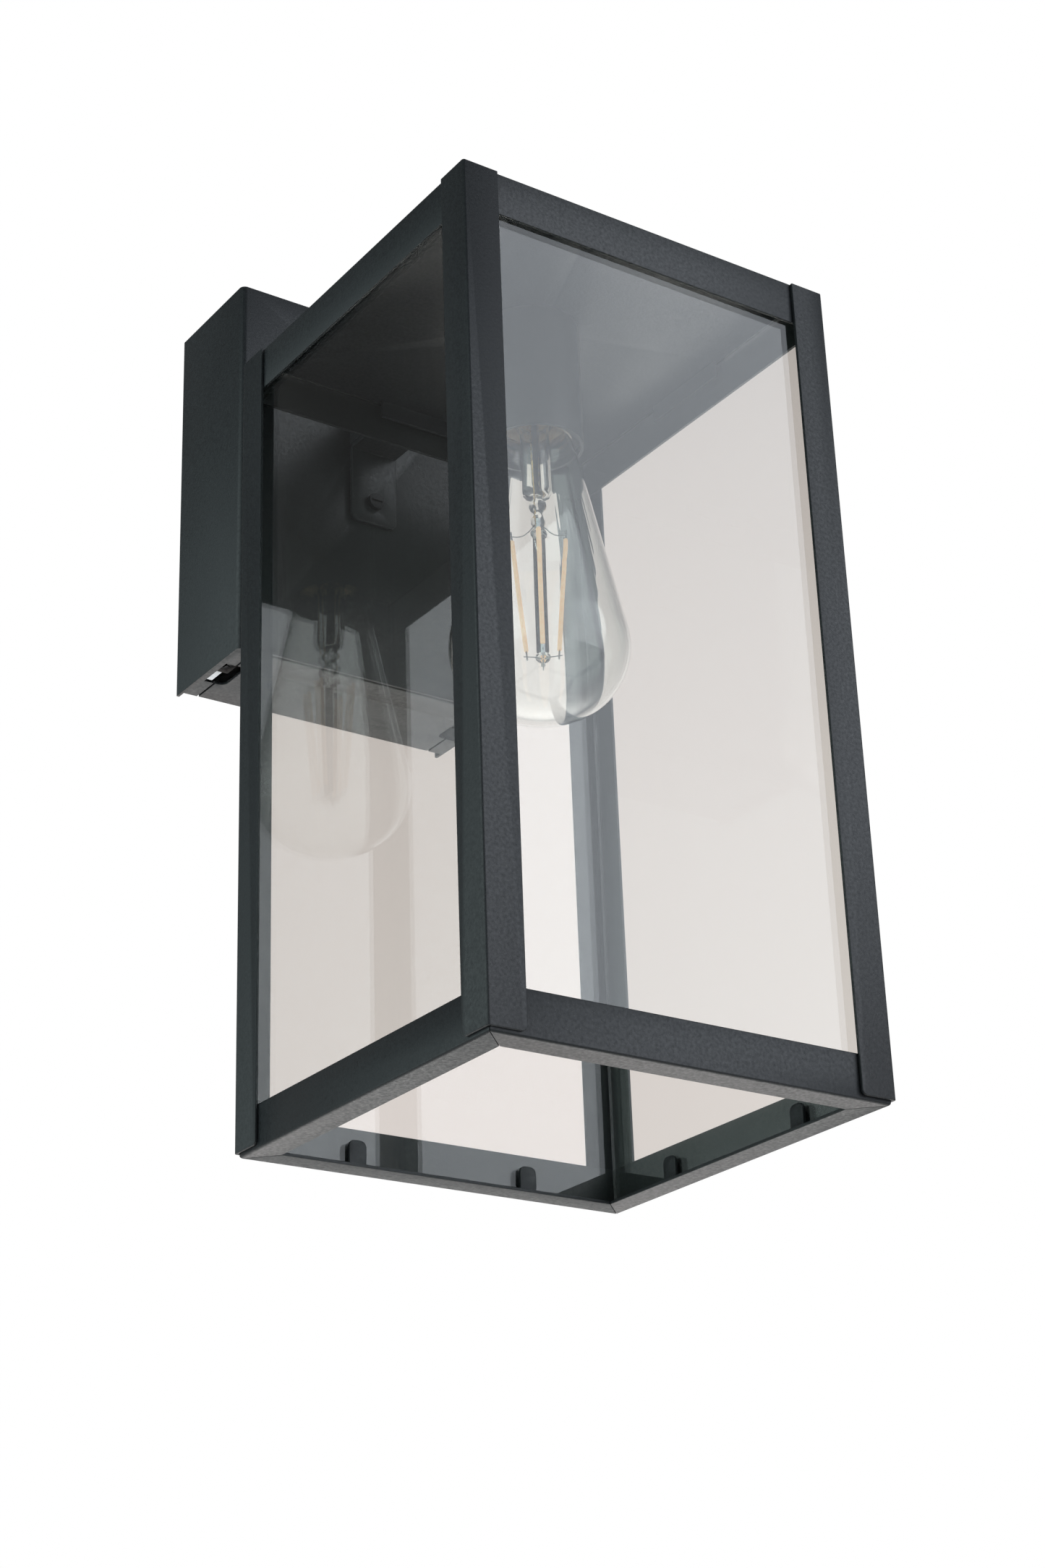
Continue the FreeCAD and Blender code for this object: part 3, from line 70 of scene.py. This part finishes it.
def linear(hexColour):
    # sRGB hex to linear RGBA
    parts = [int(hexColour[i:i + 2], 16) / 255 for i in (1, 3, 5)]
    return tuple(c / 12.92 if c <= 0.04045 else ((c + 0.055) / 1.055) ** 2.4 for c in parts) + (1.0,)


def addNode(tree, kind, inputs=None, links=None, **settings):
    node = tree.nodes.new(kind)
    for name, setting in settings.items():
        setattr(node, name, setting)
    for socket, number in (inputs or {}).items():
        node.inputs[socket].default_value = number
    for socket, source in (links or {}).items():
        tree.links.new(source, node.inputs[socket])
    return node


def newMaterial(name, shader):
    # a material with one Principled shader; its constant values sit on the shader's own sockets
    material = bpy.data.materials.new(name)
    material.use_nodes = True
    tree = material.node_tree
    tree.nodes.clear()
    principled = addNode(tree, "ShaderNodeBsdfPrincipled", shader)
    addNode(tree, "ShaderNodeOutputMaterial", links={"Surface": principled.outputs[0]})
    place = addNode(tree, "ShaderNodeTexCoord").outputs["Object"]
    return material, tree, principled, place


def grain(tree, place, size, detail=2.0, rough=0.5):
    # noise whose lumps are about size metres across
    return addNode(tree, "ShaderNodeTexNoise", {"Scale": 0.5 / size, "Detail": detail, "Roughness": rough},
                   {"Vector": place}).outputs["Fac"]


def between(tree, source, low, high, toLow, toHigh):
    return addNode(tree, "ShaderNodeMapRange",
                   {"From Min": low, "From Max": high, "To Min": toLow, "To Max": toHigh},
                   {"Value": source}).outputs[0]


def blendColour(tree, fac, colourA, colourB):
    return addNode(tree, "ShaderNodeMix", {"A": colourA, "B": colourB}, {"Factor": fac}, data_type="RGBA")


# materials

coat = {
    # sizes of the powder's lumps, its painted glint specks (lighter dots in the colour that stand in for the
    # coat's glitter) and the faint cloudiness of a sprayed sheet
    "colour": "#2c2f32", "darker": "#222528", "glintSpeck": "#4a4c4d",
    "grainSize": 0.62 * mm, "bumpHeight": 0.055 * mm, "roughness": 0.42, "specular": 0.55,
    "speckSize": 0.6 * mm, "blotchSize": 60 * mm,
}


def makePowderCoat(name="steel, polyester powder coated"):
    # baked powder on steel: tiny soft pimples that break every highlight into glitter;
    # the grain is drawn coarser than a fine coat has, so that it shows
    material, tree, shader, place = newMaterial(name, {
        "Roughness": coat["roughness"], "Specular IOR Level": coat["specular"], "IOR": 1.5})
    lumps = grain(tree, place, coat["grainSize"], 3.0, 0.6)
    blotch = grain(tree, place, coat["blotchSize"], 2.0)
    base = blendColour(tree, between(tree, blotch, 0.35, 0.65, 0.0, 1.0), linear(coat["darker"]),
                       linear(coat["colour"]))
    # painted glint: small lighter dots mixed into the base colour paint the powder's glitter, on top of the
    # glitter from the bump
    specks = addNode(tree, "ShaderNodeTexVoronoi", {"Scale": 1 / coat["speckSize"] / 2}, {"Vector": place})
    bright = between(tree, specks.outputs["Distance"], 0.0, 0.16, 1.0, 0.0)
    tinted = addNode(tree, "ShaderNodeMix", {"B": linear(coat["glintSpeck"])},
                     {"Factor": bright, "A": base.outputs["Result"]}, data_type="RGBA")
    tree.links.new(tinted.outputs["Result"], shader.inputs["Base Color"])
    tree.links.new(between(tree, lumps, 0.3, 0.7, coat["roughness"] - 0.08, coat["roughness"] + 0.14),
                   shader.inputs["Roughness"])
    bump = addNode(tree, "ShaderNodeBump", {"Strength": 0.9, "Distance": coat["bumpHeight"]},
                   {"Height": lumps})
    tree.links.new(bump.outputs[0], shader.inputs["Normal"])
    return material


pane = {
    "tint": "#fbfbf9", "ior": 1.52,
    "rippleSize": 90 * mm, "rippleHeight": 0.3 * mm, "rippleStrength": 0.05,
}


def clearForShadows(material, tree, shader, tint):
    # glass that lets lamp light through without caustics
    path = addNode(tree, "ShaderNodeLightPath")
    through = addNode(tree, "ShaderNodeBsdfTransparent", {"Color": tint})
    either = addNode(tree, "ShaderNodeMath", links={0: path.outputs["Is Shadow Ray"],
                                                    1: path.outputs["Is Diffuse Ray"]}, operation="MAXIMUM")
    mixed = addNode(tree, "ShaderNodeMixShader", links={0: either.outputs[0], 1: shader.outputs[0],
                                                        2: through.outputs[0]})
    output = next(node for node in tree.nodes if node.type == "OUTPUT_MATERIAL")
    tree.links.new(mixed.outputs[0], output.inputs["Surface"])
    return material


def makePaneGlass(name="float glass, polished"):
    # flat and clear, with a slight ripple: it shows by what it mirrors
    material, tree, shader, place = newMaterial(name, {
        "Base Color": linear(pane["tint"]), "Roughness": 0.0, "IOR": pane["ior"], "Transmission Weight": 1.0})
    ripple = grain(tree, place, pane["rippleSize"], 1.0)
    bump = addNode(tree, "ShaderNodeBump", {"Strength": pane["rippleStrength"],
                                            "Distance": pane["rippleHeight"]}, {"Height": ripple})
    tree.links.new(bump.outputs[0], shader.inputs["Normal"])
    return clearForShadows(material, tree, shader, linear("#f7fbf8"))


blown = {
    "tint": "#fbfcfa", "ior": 1.5,
    "rippleSize": 25 * mm, "rippleHeight": 0.2 * mm, "rippleStrength": 0.08,
}


def makeBulbGlass(name="soda lime glass, blown"):
    # thin and clear: only its outline and the lights in it show
    material, tree, shader, place = newMaterial(name, {
        "Base Color": linear(blown["tint"]), "Roughness": 0.0, "IOR": blown["ior"],
        "Transmission Weight": 1.0})
    ripple = grain(tree, place, blown["rippleSize"], 1.0)
    bump = addNode(tree, "ShaderNodeBump", {"Strength": blown["rippleStrength"],
                                            "Distance": blown["rippleHeight"]}, {"Height": ripple})
    tree.links.new(bump.outputs[0], shader.inputs["Normal"])
    return clearForShadows(material, tree, shader, linear("#fafbfa"))


def makePlain(name, colour, darker, roughness, metallic=0.0, size=1.0 * mm, height=0.01 * mm, **shader):
    # a finish with fine mottling, roughness changes and a light bump; metals keep the default IOR
    settings = {"Roughness": roughness, "Metallic": metallic, **shader}
    if metallic < 0.5:
        settings["IOR"] = 1.5
    material, tree, principled, place = newMaterial(name, settings)
    lumps = grain(tree, place, size, 3.0)
    base = blendColour(tree, between(tree, lumps, 0.35, 0.65, 0.0, 1.0), linear(darker), linear(colour))
    tree.links.new(base.outputs["Result"], principled.inputs["Base Color"])
    tree.links.new(between(tree, lumps, 0.3, 0.7, roughness * 0.8, min(1.0, roughness * 1.25)),
                   principled.inputs["Roughness"])
    bump = addNode(tree, "ShaderNodeBump", {"Strength": 0.6, "Distance": height}, {"Height": lumps})
    tree.links.new(bump.outputs[0], principled.inputs["Normal"])
    return material


finishes = {
    "powder_coat": makePowderCoat(),
    "pane": makePaneGlass(),
    "bulb_clear": makeBulbGlass(),
    # bright zinc: a pale, slightly bluish metal with soft reflections
    "zinc_steel": makePlain("steel, bright zinc plated", "#c3c6c9", "#a9adb1", 0.32, 1.0, 1.2 * mm),
    # black zinc: satin, a touch glossier than the coat round it
    "black_screw": makePlain("steel, black zinc plated", "#2a2b2d", "#1d1e20", 0.35, 0.4, 0.5 * mm),
    # warm and bright, for the lead wires in the bulb
    "brass": makePlain("brass, turned", "#d8b36a", "#b98f48", 0.28, 1.0, 0.8 * mm),
    # a slightly warm, bright skin with soft reflections
    "nickel": makePlain("brass sheet, nickel plated", "#cfc8ba", "#b4ad9f", 0.22, 1.0, 1.5 * mm),
    # black and dull, with a faint moulding bloom
    "holder_plastic": makePlain("phenolic, moulded matt", "#1b1b1c", "#131314", 0.55, 0.0, 0.6 * mm),
    # soft black with hardly any shine
    "black_rubber": makePlain("EPDM rubber, moulded", "#1c1c1c", "#141414", 0.75, 0.0, 0.5 * mm),
    # milky off-white, a little waxy
    "terminal_plastic": makePlain("nylon, moulded", "#e2e0d8", "#d2d0c6", 0.4, 0.0, 0.8 * mm),
    # three leads: smooth, even colour with a soft shine
    "lead_brown": makePlain("PVC sleeve, brown", "#5b331c", "#4a2916", 0.38, 0.0, 0.5 * mm),
    "lead_blue": makePlain("PVC sleeve, blue", "#2a56a6", "#23488d", 0.38, 0.0, 0.5 * mm),
    "lead_green": makePlain("PVC sleeve, green", "#5d8f2c", "#4f7b25", 0.38, 0.0, 0.5 * mm),
    # glossy black glass round the contact
    "vitrite": makePlain("black fused glass", "#101012", "#0a0a0b", 0.12, 0.0, 2.0 * mm),
    # basing cement: a pale amber, chalky paste that has set hard
    "cement": makePlain("phenolic cement, set", "#f6d2a8", "#ecb983", 0.6, 0.0, 0.7 * mm, 0.06 * mm),
    # silicone over the diode chips: pale peach and waxy; a faint emission is painted light, standing in for
    # the daylight that shines through the unlit silicone
    "phosphor": makePlain("silicone with phosphor, moulded", "#ffdfc0", "#fbd0a8", 0.5, 0.0, 0.8 * mm,
                          **{"Emission Color": linear("#ffcfa2"), "Emission Strength": 0.3}),
}
slotOf = {entry["node"]: entry["material_slot"] for entry in frame["record"]["subparts"]}
for nodeName, piece in nodes.items():
    piece.data.materials.clear()
    piece.data.materials.append(finishes[slotOf[nodeName]])
print("materials made:", len(finishes))


# sheet metal with broken edges

edges = {"width": 0.22 * mm, "segments": 2, "angle": math.radians(35)}


def bodyOf(nodeName):
    bodies = frame["record"]["behaviour"]["bodies"]
    return next(name for name, members in bodies.items() if nodeName in members)


def softEdges(nodeName, width):
    # the node's own shape with its sharp edges broken, as paint rounds them
    source = nodes[nodeName]
    mesh = source.data.copy()
    mesh.name = nodeName + "Mesh"
    piece = bpy.data.objects.new(nodeName + "Soft", mesh)
    scene.collection.objects.link(piece)
    work = bmesh.new()
    work.from_mesh(mesh)
    bmesh.ops.remove_doubles(work, verts=work.verts, dist=0.002 * mm)
    bmesh.ops.dissolve_limit(work, angle_limit=math.radians(0.5), verts=work.verts, edges=work.edges)
    work.to_mesh(mesh)
    work.free()
    bevel = piece.modifiers.new("broken edges", "BEVEL")
    bevel.width = width
    bevel.segments = edges["segments"]
    bevel.limit_method = "ANGLE"
    bevel.angle_limit = edges["angle"]
    bevel.harden_normals = True
    for face in mesh.polygons:
        face.use_smooth = True
    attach(piece, bodyOf(nodeName))
    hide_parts(nodeName)
    return piece


sheetNodes = [name for name in nodes if slotOf[name] == "powder_coat" and name != "holder_sleeve"]
for nodeName in sheetNodes:
    softEdges(nodeName, edges["width"])
print("sheet pieces:", len(sheetNodes))


# camera

view = {"yaw": 35.124, "pitch": 25.111, "roll": -2.086, "focal": 3824.3, "shiftY": 984 - 1084,
        "fromLantern": (-524.1, -810.7, -583.6)}
frameLong = 2168
sensor = 36.0
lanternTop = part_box("roof_plate")[1].z
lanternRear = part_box("post_rear_left")[1].y


def makeCamera():
    yaw, pitch, roll = (math.radians(view[key]) for key in ("yaw", "pitch", "roll"))
    forward = Vector((math.sin(yaw) * math.cos(pitch), math.cos(yaw) * math.cos(pitch), math.sin(pitch)))
    right = Vector((math.cos(yaw), -math.sin(yaw), 0))
    up = right.cross(forward)
    turnedRight = right * math.cos(roll) + up * math.sin(roll)
    turnedUp = up * math.cos(roll) - right * math.sin(roll)
    data = bpy.data.cameras.new("camera")
    camera = bpy.data.objects.new("camera", data)
    scene.collection.objects.link(camera)
    basis = Matrix((turnedRight, turnedUp, -forward)).transposed().to_4x4()
    x, y, z = (number * mm for number in view["fromLantern"])
    camera.matrix_world = Matrix.Translation((x, lanternRear + y, lanternTop + z)) @ basis
    data.sensor_width = sensor
    data.lens = view["focal"] / frameLong * sensor
    data.shift_y = view["shiftY"] / frameLong
    data.clip_start = 0.01
    scene.camera = camera


makeCamera()


# bulb

bulb = {
    "radius": 32.0, "tipRadius": 45.0, "shoulderRadius": 27.0, "coneAngle": 12.0, "neckRadius": 11.7,
    "flareAngle": 28.0, "hollowRadius": 10.0, "neckShoulder": 25.0, "wall": 0.8, "sides": 96,
}
bulbLow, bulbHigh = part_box("bulb_glass")
axis = Vector(((bulbLow.x + bulbHigh.x) / 2, (bulbLow.y + bulbHigh.y) / 2, 0))


def arc(x, z, radius, start, end, steps):
    # points of an arc in the (radius, height) plane, angles in degrees
    turns = [math.radians(start + (end - start) * i / steps) for i in range(steps + 1)]
    return [(x + radius * math.cos(turn), z + radius * math.sin(turn)) for turn in turns]


def bulbOutline(wall):
    tipX = bulb["radius"] - bulb["shoulderRadius"]
    rise = bulb["tipRadius"] - bulb["shoulderRadius"]
    drop = math.sqrt(rise ** 2 - tipX ** 2)
    shoulderZ = bulb["tipRadius"] - drop
    meet = -math.degrees(math.atan2(drop, tipX))
    cone, flare = bulb["coneAngle"], bulb["flareAngle"]
    cosCone, sinCone = math.cos(math.radians(cone)), math.sin(math.radians(cone))
    both = bulb["hollowRadius"] + bulb["neckShoulder"]
    hollowX = bulb["neckRadius"] + bulb["hollowRadius"]
    neckX = hollowX - both * math.cos(math.radians(flare))
    coneTop = tipX - neckX + (bulb["shoulderRadius"] - bulb["neckShoulder"]) * cosCone
    neckZ = (shoulderZ + (bulb["shoulderRadius"] - bulb["neckShoulder"]) * sinCone
             + coneTop / (sinCone / cosCone))
    hollowZ = neckZ + both * math.sin(math.radians(flare))
    points = arc(0, bulb["tipRadius"], bulb["tipRadius"] - wall, -90, meet, 8)
    points += arc(tipX, shoulderZ, bulb["shoulderRadius"] - wall, meet, cone, 24)[1:]
    points += arc(neckX, neckZ, bulb["neckShoulder"] - wall, cone, flare, 8)
    points += arc(hollowX, hollowZ, bulb["hollowRadius"] + wall, 180 + flare, 180, 10)[1:]
    points.append((bulb["neckRadius"] - wall, (bulbHigh.z - bulbLow.z) / mm))
    return points


def skin(name, rings, sides, place=Matrix.Identity(4), smooth=True, closed=False):
    # closed surface over rings of (radius x, radius y, height, turn); a ring of radius 0 is a pole
    work = bmesh.new()
    previous, first = None, None
    for radiusX, radiusY, height, turn in rings:
        if radiusX == 0:
            ring = [work.verts.new(place @ Vector((0, 0, height * mm)))] * sides
        else:
            ring = []
            for i in range(sides):
                angle = 2 * math.pi * i / sides
                point = Vector((radiusX * math.cos(angle), radiusY * math.sin(angle), height)) * mm
                ring.append(work.verts.new(place @ (Matrix.Rotation(turn, 4, "Z") @ point)))
        for i in range(sides if previous else 0):
            corners = [previous[i], previous[(i + 1) % sides], ring[(i + 1) % sides], ring[i]]
            work.faces.new(dict.fromkeys(corners))
        previous = ring
        first = first or ring
    for i in range(sides if closed else 0):
        work.faces.new([previous[i], previous[(i + 1) % sides], first[(i + 1) % sides], first[i]])
    bmesh.ops.recalc_face_normals(work, faces=work.faces)
    mesh = bpy.data.meshes.new(name)
    work.to_mesh(mesh)
    work.free()
    for face in mesh.polygons:
        face.use_smooth = smooth
    piece = bpy.data.objects.new(name, mesh)
    scene.collection.objects.link(piece)
    return piece


def finish(piece, slot, body, *stands):
    piece.data.materials.clear()
    piece.data.materials.append(finishes[slot])
    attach(piece, body)
    if stands:
        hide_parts(*stands)
    return piece


def turned(profile):
    return [(radius, radius, height, 0) for radius, height in profile]


upright = Matrix.Translation(axis + Vector((0, 0, bulbLow.z)))
walls = turned(bulbOutline(0) + bulbOutline(bulb["wall"])[::-1])
envelope = skin("bulbEnvelope", walls, bulb["sides"], upright)
finish(envelope, "bulb_clear", "bulb", "bulb_glass")

stem = {
    "radius": 5.5, "wall": 0.7, "pressRadius": 3.9, "pressFlat": 0.72, "rodRadius": 2.3, "beadRadius": 2.8,
    "beadHeight": 4.0, "exhaustRadius": 1.7, "exhaustWall": 0.5, "endDrop": 75.0, "pressLength": 15.5,
    "footRise": 7.0, "exhaustRise": 12.0,
}
sticks = {"count": 4, "radius": 0.9, "length": 46.0, "topSpread": 10.0, "footSpread": 6.0, "drop": 92.5,
          "turn": -35.0, "beadDrop": 2.5, "tabLength": 3.4, "tabHalf": 0.55, "tabThick": 0.22}
wires = {"radius": 0.2, "leadRadius": 0.3}
tipDrop = (lanternTop - bulbLow.z) / mm
pressTop = tipDrop - stem["endDrop"]
pressFoot = pressTop - stem["pressLength"]
stickTop = tipDrop - sticks["drop"]
lean = sticks["topSpread"] - sticks["footSpread"]
stickFoot = stickTop - math.sqrt(sticks["length"] ** 2 - lean ** 2)
beadMiddle = stickFoot - sticks["beadDrop"]
capFoot = (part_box("bulb_cap")[0].z - bulbLow.z) / mm
print("bulb outline made")


def makeStem():
    rings = []
    half = stem["beadHeight"] / 2
    for i in range(9):
        angle = -90 + 150 * i / 8
        size = stem["beadRadius"] * math.cos(math.radians(angle)) if i else 0
        rings.append((size, size, beadMiddle + half * math.sin(math.radians(angle)), 0))
    rod = stem["rodRadius"]
    rings += [(rod, rod, beadMiddle + half * 1.15, 0), (rod, rod, pressFoot - 1.0, 0)]
    # the press: pinched while hot, so it is flat, waisted and a little twisted
    steps = 22
    for i in range(steps + 1):
        along = i / steps
        lump = 0.82 + 0.18 * math.cos(along * math.pi * 5.2)
        flat = stem["pressFlat"] + 0.14 * math.sin(along * math.pi * 3.1)
        size = stem["pressRadius"] * lump
        rings.append((size, size * flat, pressFoot + (pressTop - pressFoot) * along, 0.5 + along * 0.9))
    tube, wall = stem["radius"], stem["wall"]
    foot = capFoot + stem["footRise"]
    profile = [(tube * 0.93, pressTop + 1.2), (tube, pressTop + 3.0), (tube, foot - 7.0),
               (tube + 1.2, foot - 3.6),
               (tube + 3.2, foot - 1.2), (bulb["neckRadius"] - bulb["wall"] - 0.1, foot),
               (bulb["neckRadius"] - bulb["wall"] - 0.7, foot + 0.7), (tube + 2.6, foot - 0.3),
               (tube + 0.5, foot - 3.0), (tube - wall, foot - 7.0), (tube - wall, pressTop + 3.0),
               (tube * 0.6, pressTop + 1.0), (0, pressTop + 0.2)]
    piece = skin("bulbStem", rings + turned(profile), 40, upright)
    finish(piece, "bulb_clear", "bulb", "bulb_stem")
    inner, outer = stem["exhaustRadius"] - stem["exhaustWall"], stem["exhaustRadius"]
    top = capFoot + stem["exhaustRise"]
    profile = [(0, pressTop + 1.4), (outer * 0.8, pressTop + 1.6), (outer, pressTop + 2.6), (outer, top),
               (inner, top), (inner, pressTop + 3.0), (0, pressTop + 2.4)]
    finish(skin("bulbExhaustTube", turned(profile), 28, upright), "bulb_clear", "bulb")


def lineOf(name, runs, radius, slot, *stands):
    # round wires on smooth curves through a few points each, in millimetres above the tip
    curve = bpy.data.curves.new(name, "CURVE")
    curve.dimensions = "3D"
    curve.bevel_depth = radius * mm
    curve.bevel_resolution = 3
    curve.use_fill_caps = True
    for run in runs:
        spline = curve.splines.new("NURBS")
        spline.points.add(len(run) - 1)
        for point, (x, y, z) in zip(spline.points, run):
            point.co = (upright @ Vector((x * mm, y * mm, z * mm))).to_4d()
        spline.order_u = 3
        spline.use_endpoint_u = True
        spline.resolution_u = 8
    piece = bpy.data.objects.new(name, curve)
    scene.collection.objects.link(piece)
    return finish(piece, slot, "bulb", *stands)


def makeFilaments():
    stickMesh, tabMesh = bmesh.new(), bmesh.new()
    upper, lower = [], []
    radius, tab = sticks["radius"], sticks["tabLength"]
    length = sticks["length"]
    for i in range(sticks["count"]):
        angle = math.radians(sticks["turn"] + i * 360 / sticks["count"] - 90)
        out = Vector((math.cos(angle), math.sin(angle), 0))
        high = out * sticks["topSpread"] + Vector((0, 0, stickTop))
        low = out * sticks["footSpread"] + Vector((0, 0, stickFoot))
        along = (high - low).normalized()
        side = Vector((0, 0, 1)).cross(out)
        frameOf = Matrix((side, along.cross(side), along)).transposed().to_4x4()
        place = upright @ Matrix.Translation(low * mm) @ frameOf
        end = 0.5
        stick = skin("stick", [(0, 0, 0, 0), (radius * 0.75, radius * 0.7, 0.12, 0),
                               (radius, radius * 0.92, end, 0),
                               (radius, radius * 0.92, length - end, 0),
                               (radius * 0.75, radius * 0.7, length - 0.12, 0), (0, 0, length, 0)], 20, place)
        corner = 1.414  # a square's corner to half its side
        wide, thick = sticks["tabHalf"] * corner, sticks["tabThick"] * corner
        for start, stop in ((-tab, 0.4), (length - 0.4, length + tab)):
            corners = [(0, 0, start, 0), (wide, thick, start, 0), (wide, thick, stop, 0), (0, 0, stop, 0)]
            plate = skin("tab", corners, 4, place, smooth=False)
            tabMesh.from_mesh(plate.data)
            bpy.data.objects.remove(plate)
        stickMesh.from_mesh(stick.data)
        bpy.data.objects.remove(stick)
        tabTop, tabFoot = high + along * tab * 0.5, low - along * tab * 0.55
        press = out * stem["pressRadius"] * 0.5 + Vector((0, 0, pressFoot + 3.5))
        bend = out * (sticks["topSpread"] * 0.45) + Vector((0, 0, pressFoot + 0.2))
        hook = out * (sticks["topSpread"] * 0.8) + Vector((0, 0, tabTop.z - 0.6))
        upper.append([press, bend, hook, tabTop])
        lower.append([out * 0.4 + Vector((0, 0, beadMiddle)), out * 3.2 + Vector((0, 0, beadMiddle + 0.15)),
                      tabFoot + out * 1.2])
    for name, work, slot, stands in (("filamentSticks", stickMesh, "phosphor", ("bulb_filaments",)),
                                     ("filamentTabs", tabMesh, "zinc_steel", ())):
        mesh = bpy.data.meshes.new(name)
        work.to_mesh(mesh)
        work.free()
        piece = bpy.data.objects.new(name, mesh)
        scene.collection.objects.link(piece)
        finish(piece, slot, "bulb", *stands)
    lower.append([(0, 0, beadMiddle - 0.4), (0.2, 0.1, beadMiddle - 2.4), (0.1, 0.3, beadMiddle - 5.0)])
    lineOf("filamentWires", upper + lower, wires["radius"], "zinc_steel", "bulb_wires")
    leads = []
    for turn in (30, 210):
        x, y = math.cos(math.radians(turn)), math.sin(math.radians(turn))
        leads.append([(x * 1.9, y * 1.9, pressFoot + 3), (x * 2.3, y * 2.3, pressTop - 3),
                      (x * 3.2, y * 3.2, pressTop + 8), (x * 3.6, y * 3.6, capFoot + stem["exhaustRise"])])
    lineOf("bulbLeadWires", leads, wires["leadRadius"], "brass")


makeStem()
makeFilaments()


cement = {"gap": 0.06, "film": 0.2, "skirtRadius": 12.5, "skirtRise": 3.7}


def makeCement():
    # between the glass neck and the metal cap, thicker in the skirt and over the neck's end
    low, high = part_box("cap_cement")
    ringLow, ringTop = (low.z - bulbLow.z) / mm, (high.z - bulbLow.z) / mm
    ringRadius = (high.x - low.x) / 2 / mm
    neckFoot = bulbOutline(0)[-2][1]
    skirtTop = capFoot + cement["skirtRise"]
    inner = bulb["neckRadius"] + cement["gap"]
    film = inner + cement["film"]
    profile = [(inner, neckFoot), (cement["skirtRadius"], neckFoot), (cement["skirtRadius"], skirtTop),
               (film, skirtTop + 0.1), (film, ringLow), (ringRadius, ringLow), (ringRadius, ringTop),
               (bulb["neckRadius"] - 3.0, ringTop), (bulb["neckRadius"] - 3.0, ringLow), (inner, ringLow)]
    finish(skin("capCement", turned(profile), 72, upright, closed=True), "cement", "bulb", "cap_cement")


makeCement()
print("bulb pieces made")


# light

light = {
    "lobes": [
        # toward, full inside and nothing outside these angles, colour, radiance
        ((0.60, 0.79, -0.06), 20, 60, "#fff6f2", 0.78),     # pale wall behind
        ((0.52, -0.76, 0.38), 17, 31, "#eff6ff", 2.1),      # soft box in front, to the right
        ((0.50, -0.86, 0.0), 12, 34, "#f3f7ff", 1.9),       # light wall low in front
        ((-0.95, 0.06, -0.30), 25, 70, "#ecffff", 1.45),    # pale wall on the left, low
    ],
    "ambient": 0.06,
    "washOffset": (0.95, 1.35, -0.15), "washSize": 1.6, "washPower": 34.0,
}


def makeWorld():
    world = bpy.data.worlds.new("studio")
    world.use_nodes = True
    scene.world = world
    tree = world.node_tree
    tree.nodes.clear()
    direction = addNode(tree, "ShaderNodeTexCoord").outputs["Generated"]
    total = None
    for toward, inner, outer, colour, radiance in light["lobes"]:
        facing = addNode(tree, "ShaderNodeVectorMath", {1: Vector(toward).normalized()}, {0: direction},
                         operation="DOT_PRODUCT")
        level = addNode(tree, "ShaderNodeMapRange", {
            "From Min": math.cos(math.radians(outer)), "From Max": math.cos(math.radians(inner)),
            "To Min": 0.0, "To Max": radiance}, {"Value": facing.outputs["Value"]},
            interpolation_type="SMOOTHSTEP")
        tinted = addNode(tree, "ShaderNodeVectorMath", {0: linear(colour)[:3]}, {"Scale": level.outputs[0]},
                         operation="SCALE").outputs[0]
        if total is None:
            total = tinted
        else:
            total = addNode(tree, "ShaderNodeVectorMath", links={0: total, 1: tinted},
                            operation="MAXIMUM").outputs[0]
    lit = addNode(tree, "ShaderNodeVectorMath", {1: (light["ambient"],) * 3}, {0: total},
                  operation="MAXIMUM").outputs[0]
    seen = addNode(tree, "ShaderNodeLightPath").outputs["Is Camera Ray"]
    shown = addNode(tree, "ShaderNodeMix", {"B": (1, 1, 1, 1)}, {"Factor": seen, "A": lit}, data_type="RGBA")
    background = addNode(tree, "ShaderNodeBackground", links={"Color": shown.outputs["Result"]})
    addNode(tree, "ShaderNodeOutputWorld", links={"Surface": background.outputs[0]})


def makeWash():
    # a lamp facing down behind the lantern: the lit floor brightens the undersides
    data = bpy.data.lights.new("floorWash", "AREA")
    data.shape = "RECTANGLE"
    data.size = data.size_y = light["washSize"]
    data.energy = light["washPower"]
    lamp = bpy.data.objects.new("floorWash", data)
    scene.collection.objects.link(lamp)
    lamp.location = (cadLow + cadHigh) / 2 + Vector(light["washOffset"])
    lamp.rotation_euler = Vector((0, 0, -1)).to_track_quat("-Z", "Y").to_euler()


makeWorld()
makeWash()
print("lights made")


# floor

floorSheet = {"reach": 3.0, "drop": 0.75}


def makeFloor():
    # a plain pale sheet well below the lantern
    work = bmesh.new()
    bmesh.ops.create_grid(work, x_segments=8, y_segments=8, size=floorSheet["reach"])
    mesh = bpy.data.meshes.new("floor")
    work.to_mesh(mesh)
    work.free()
    floor = bpy.data.objects.new("floor", mesh)
    scene.collection.objects.link(floor)
    floor.location.z = cadLow.z - floorSheet["drop"]
    floor.data.materials.append(makePlain("paper, matt", "#f2f1ef", "#ecebe8", 0.9, 0.0, 30 * mm))


makeFloor()
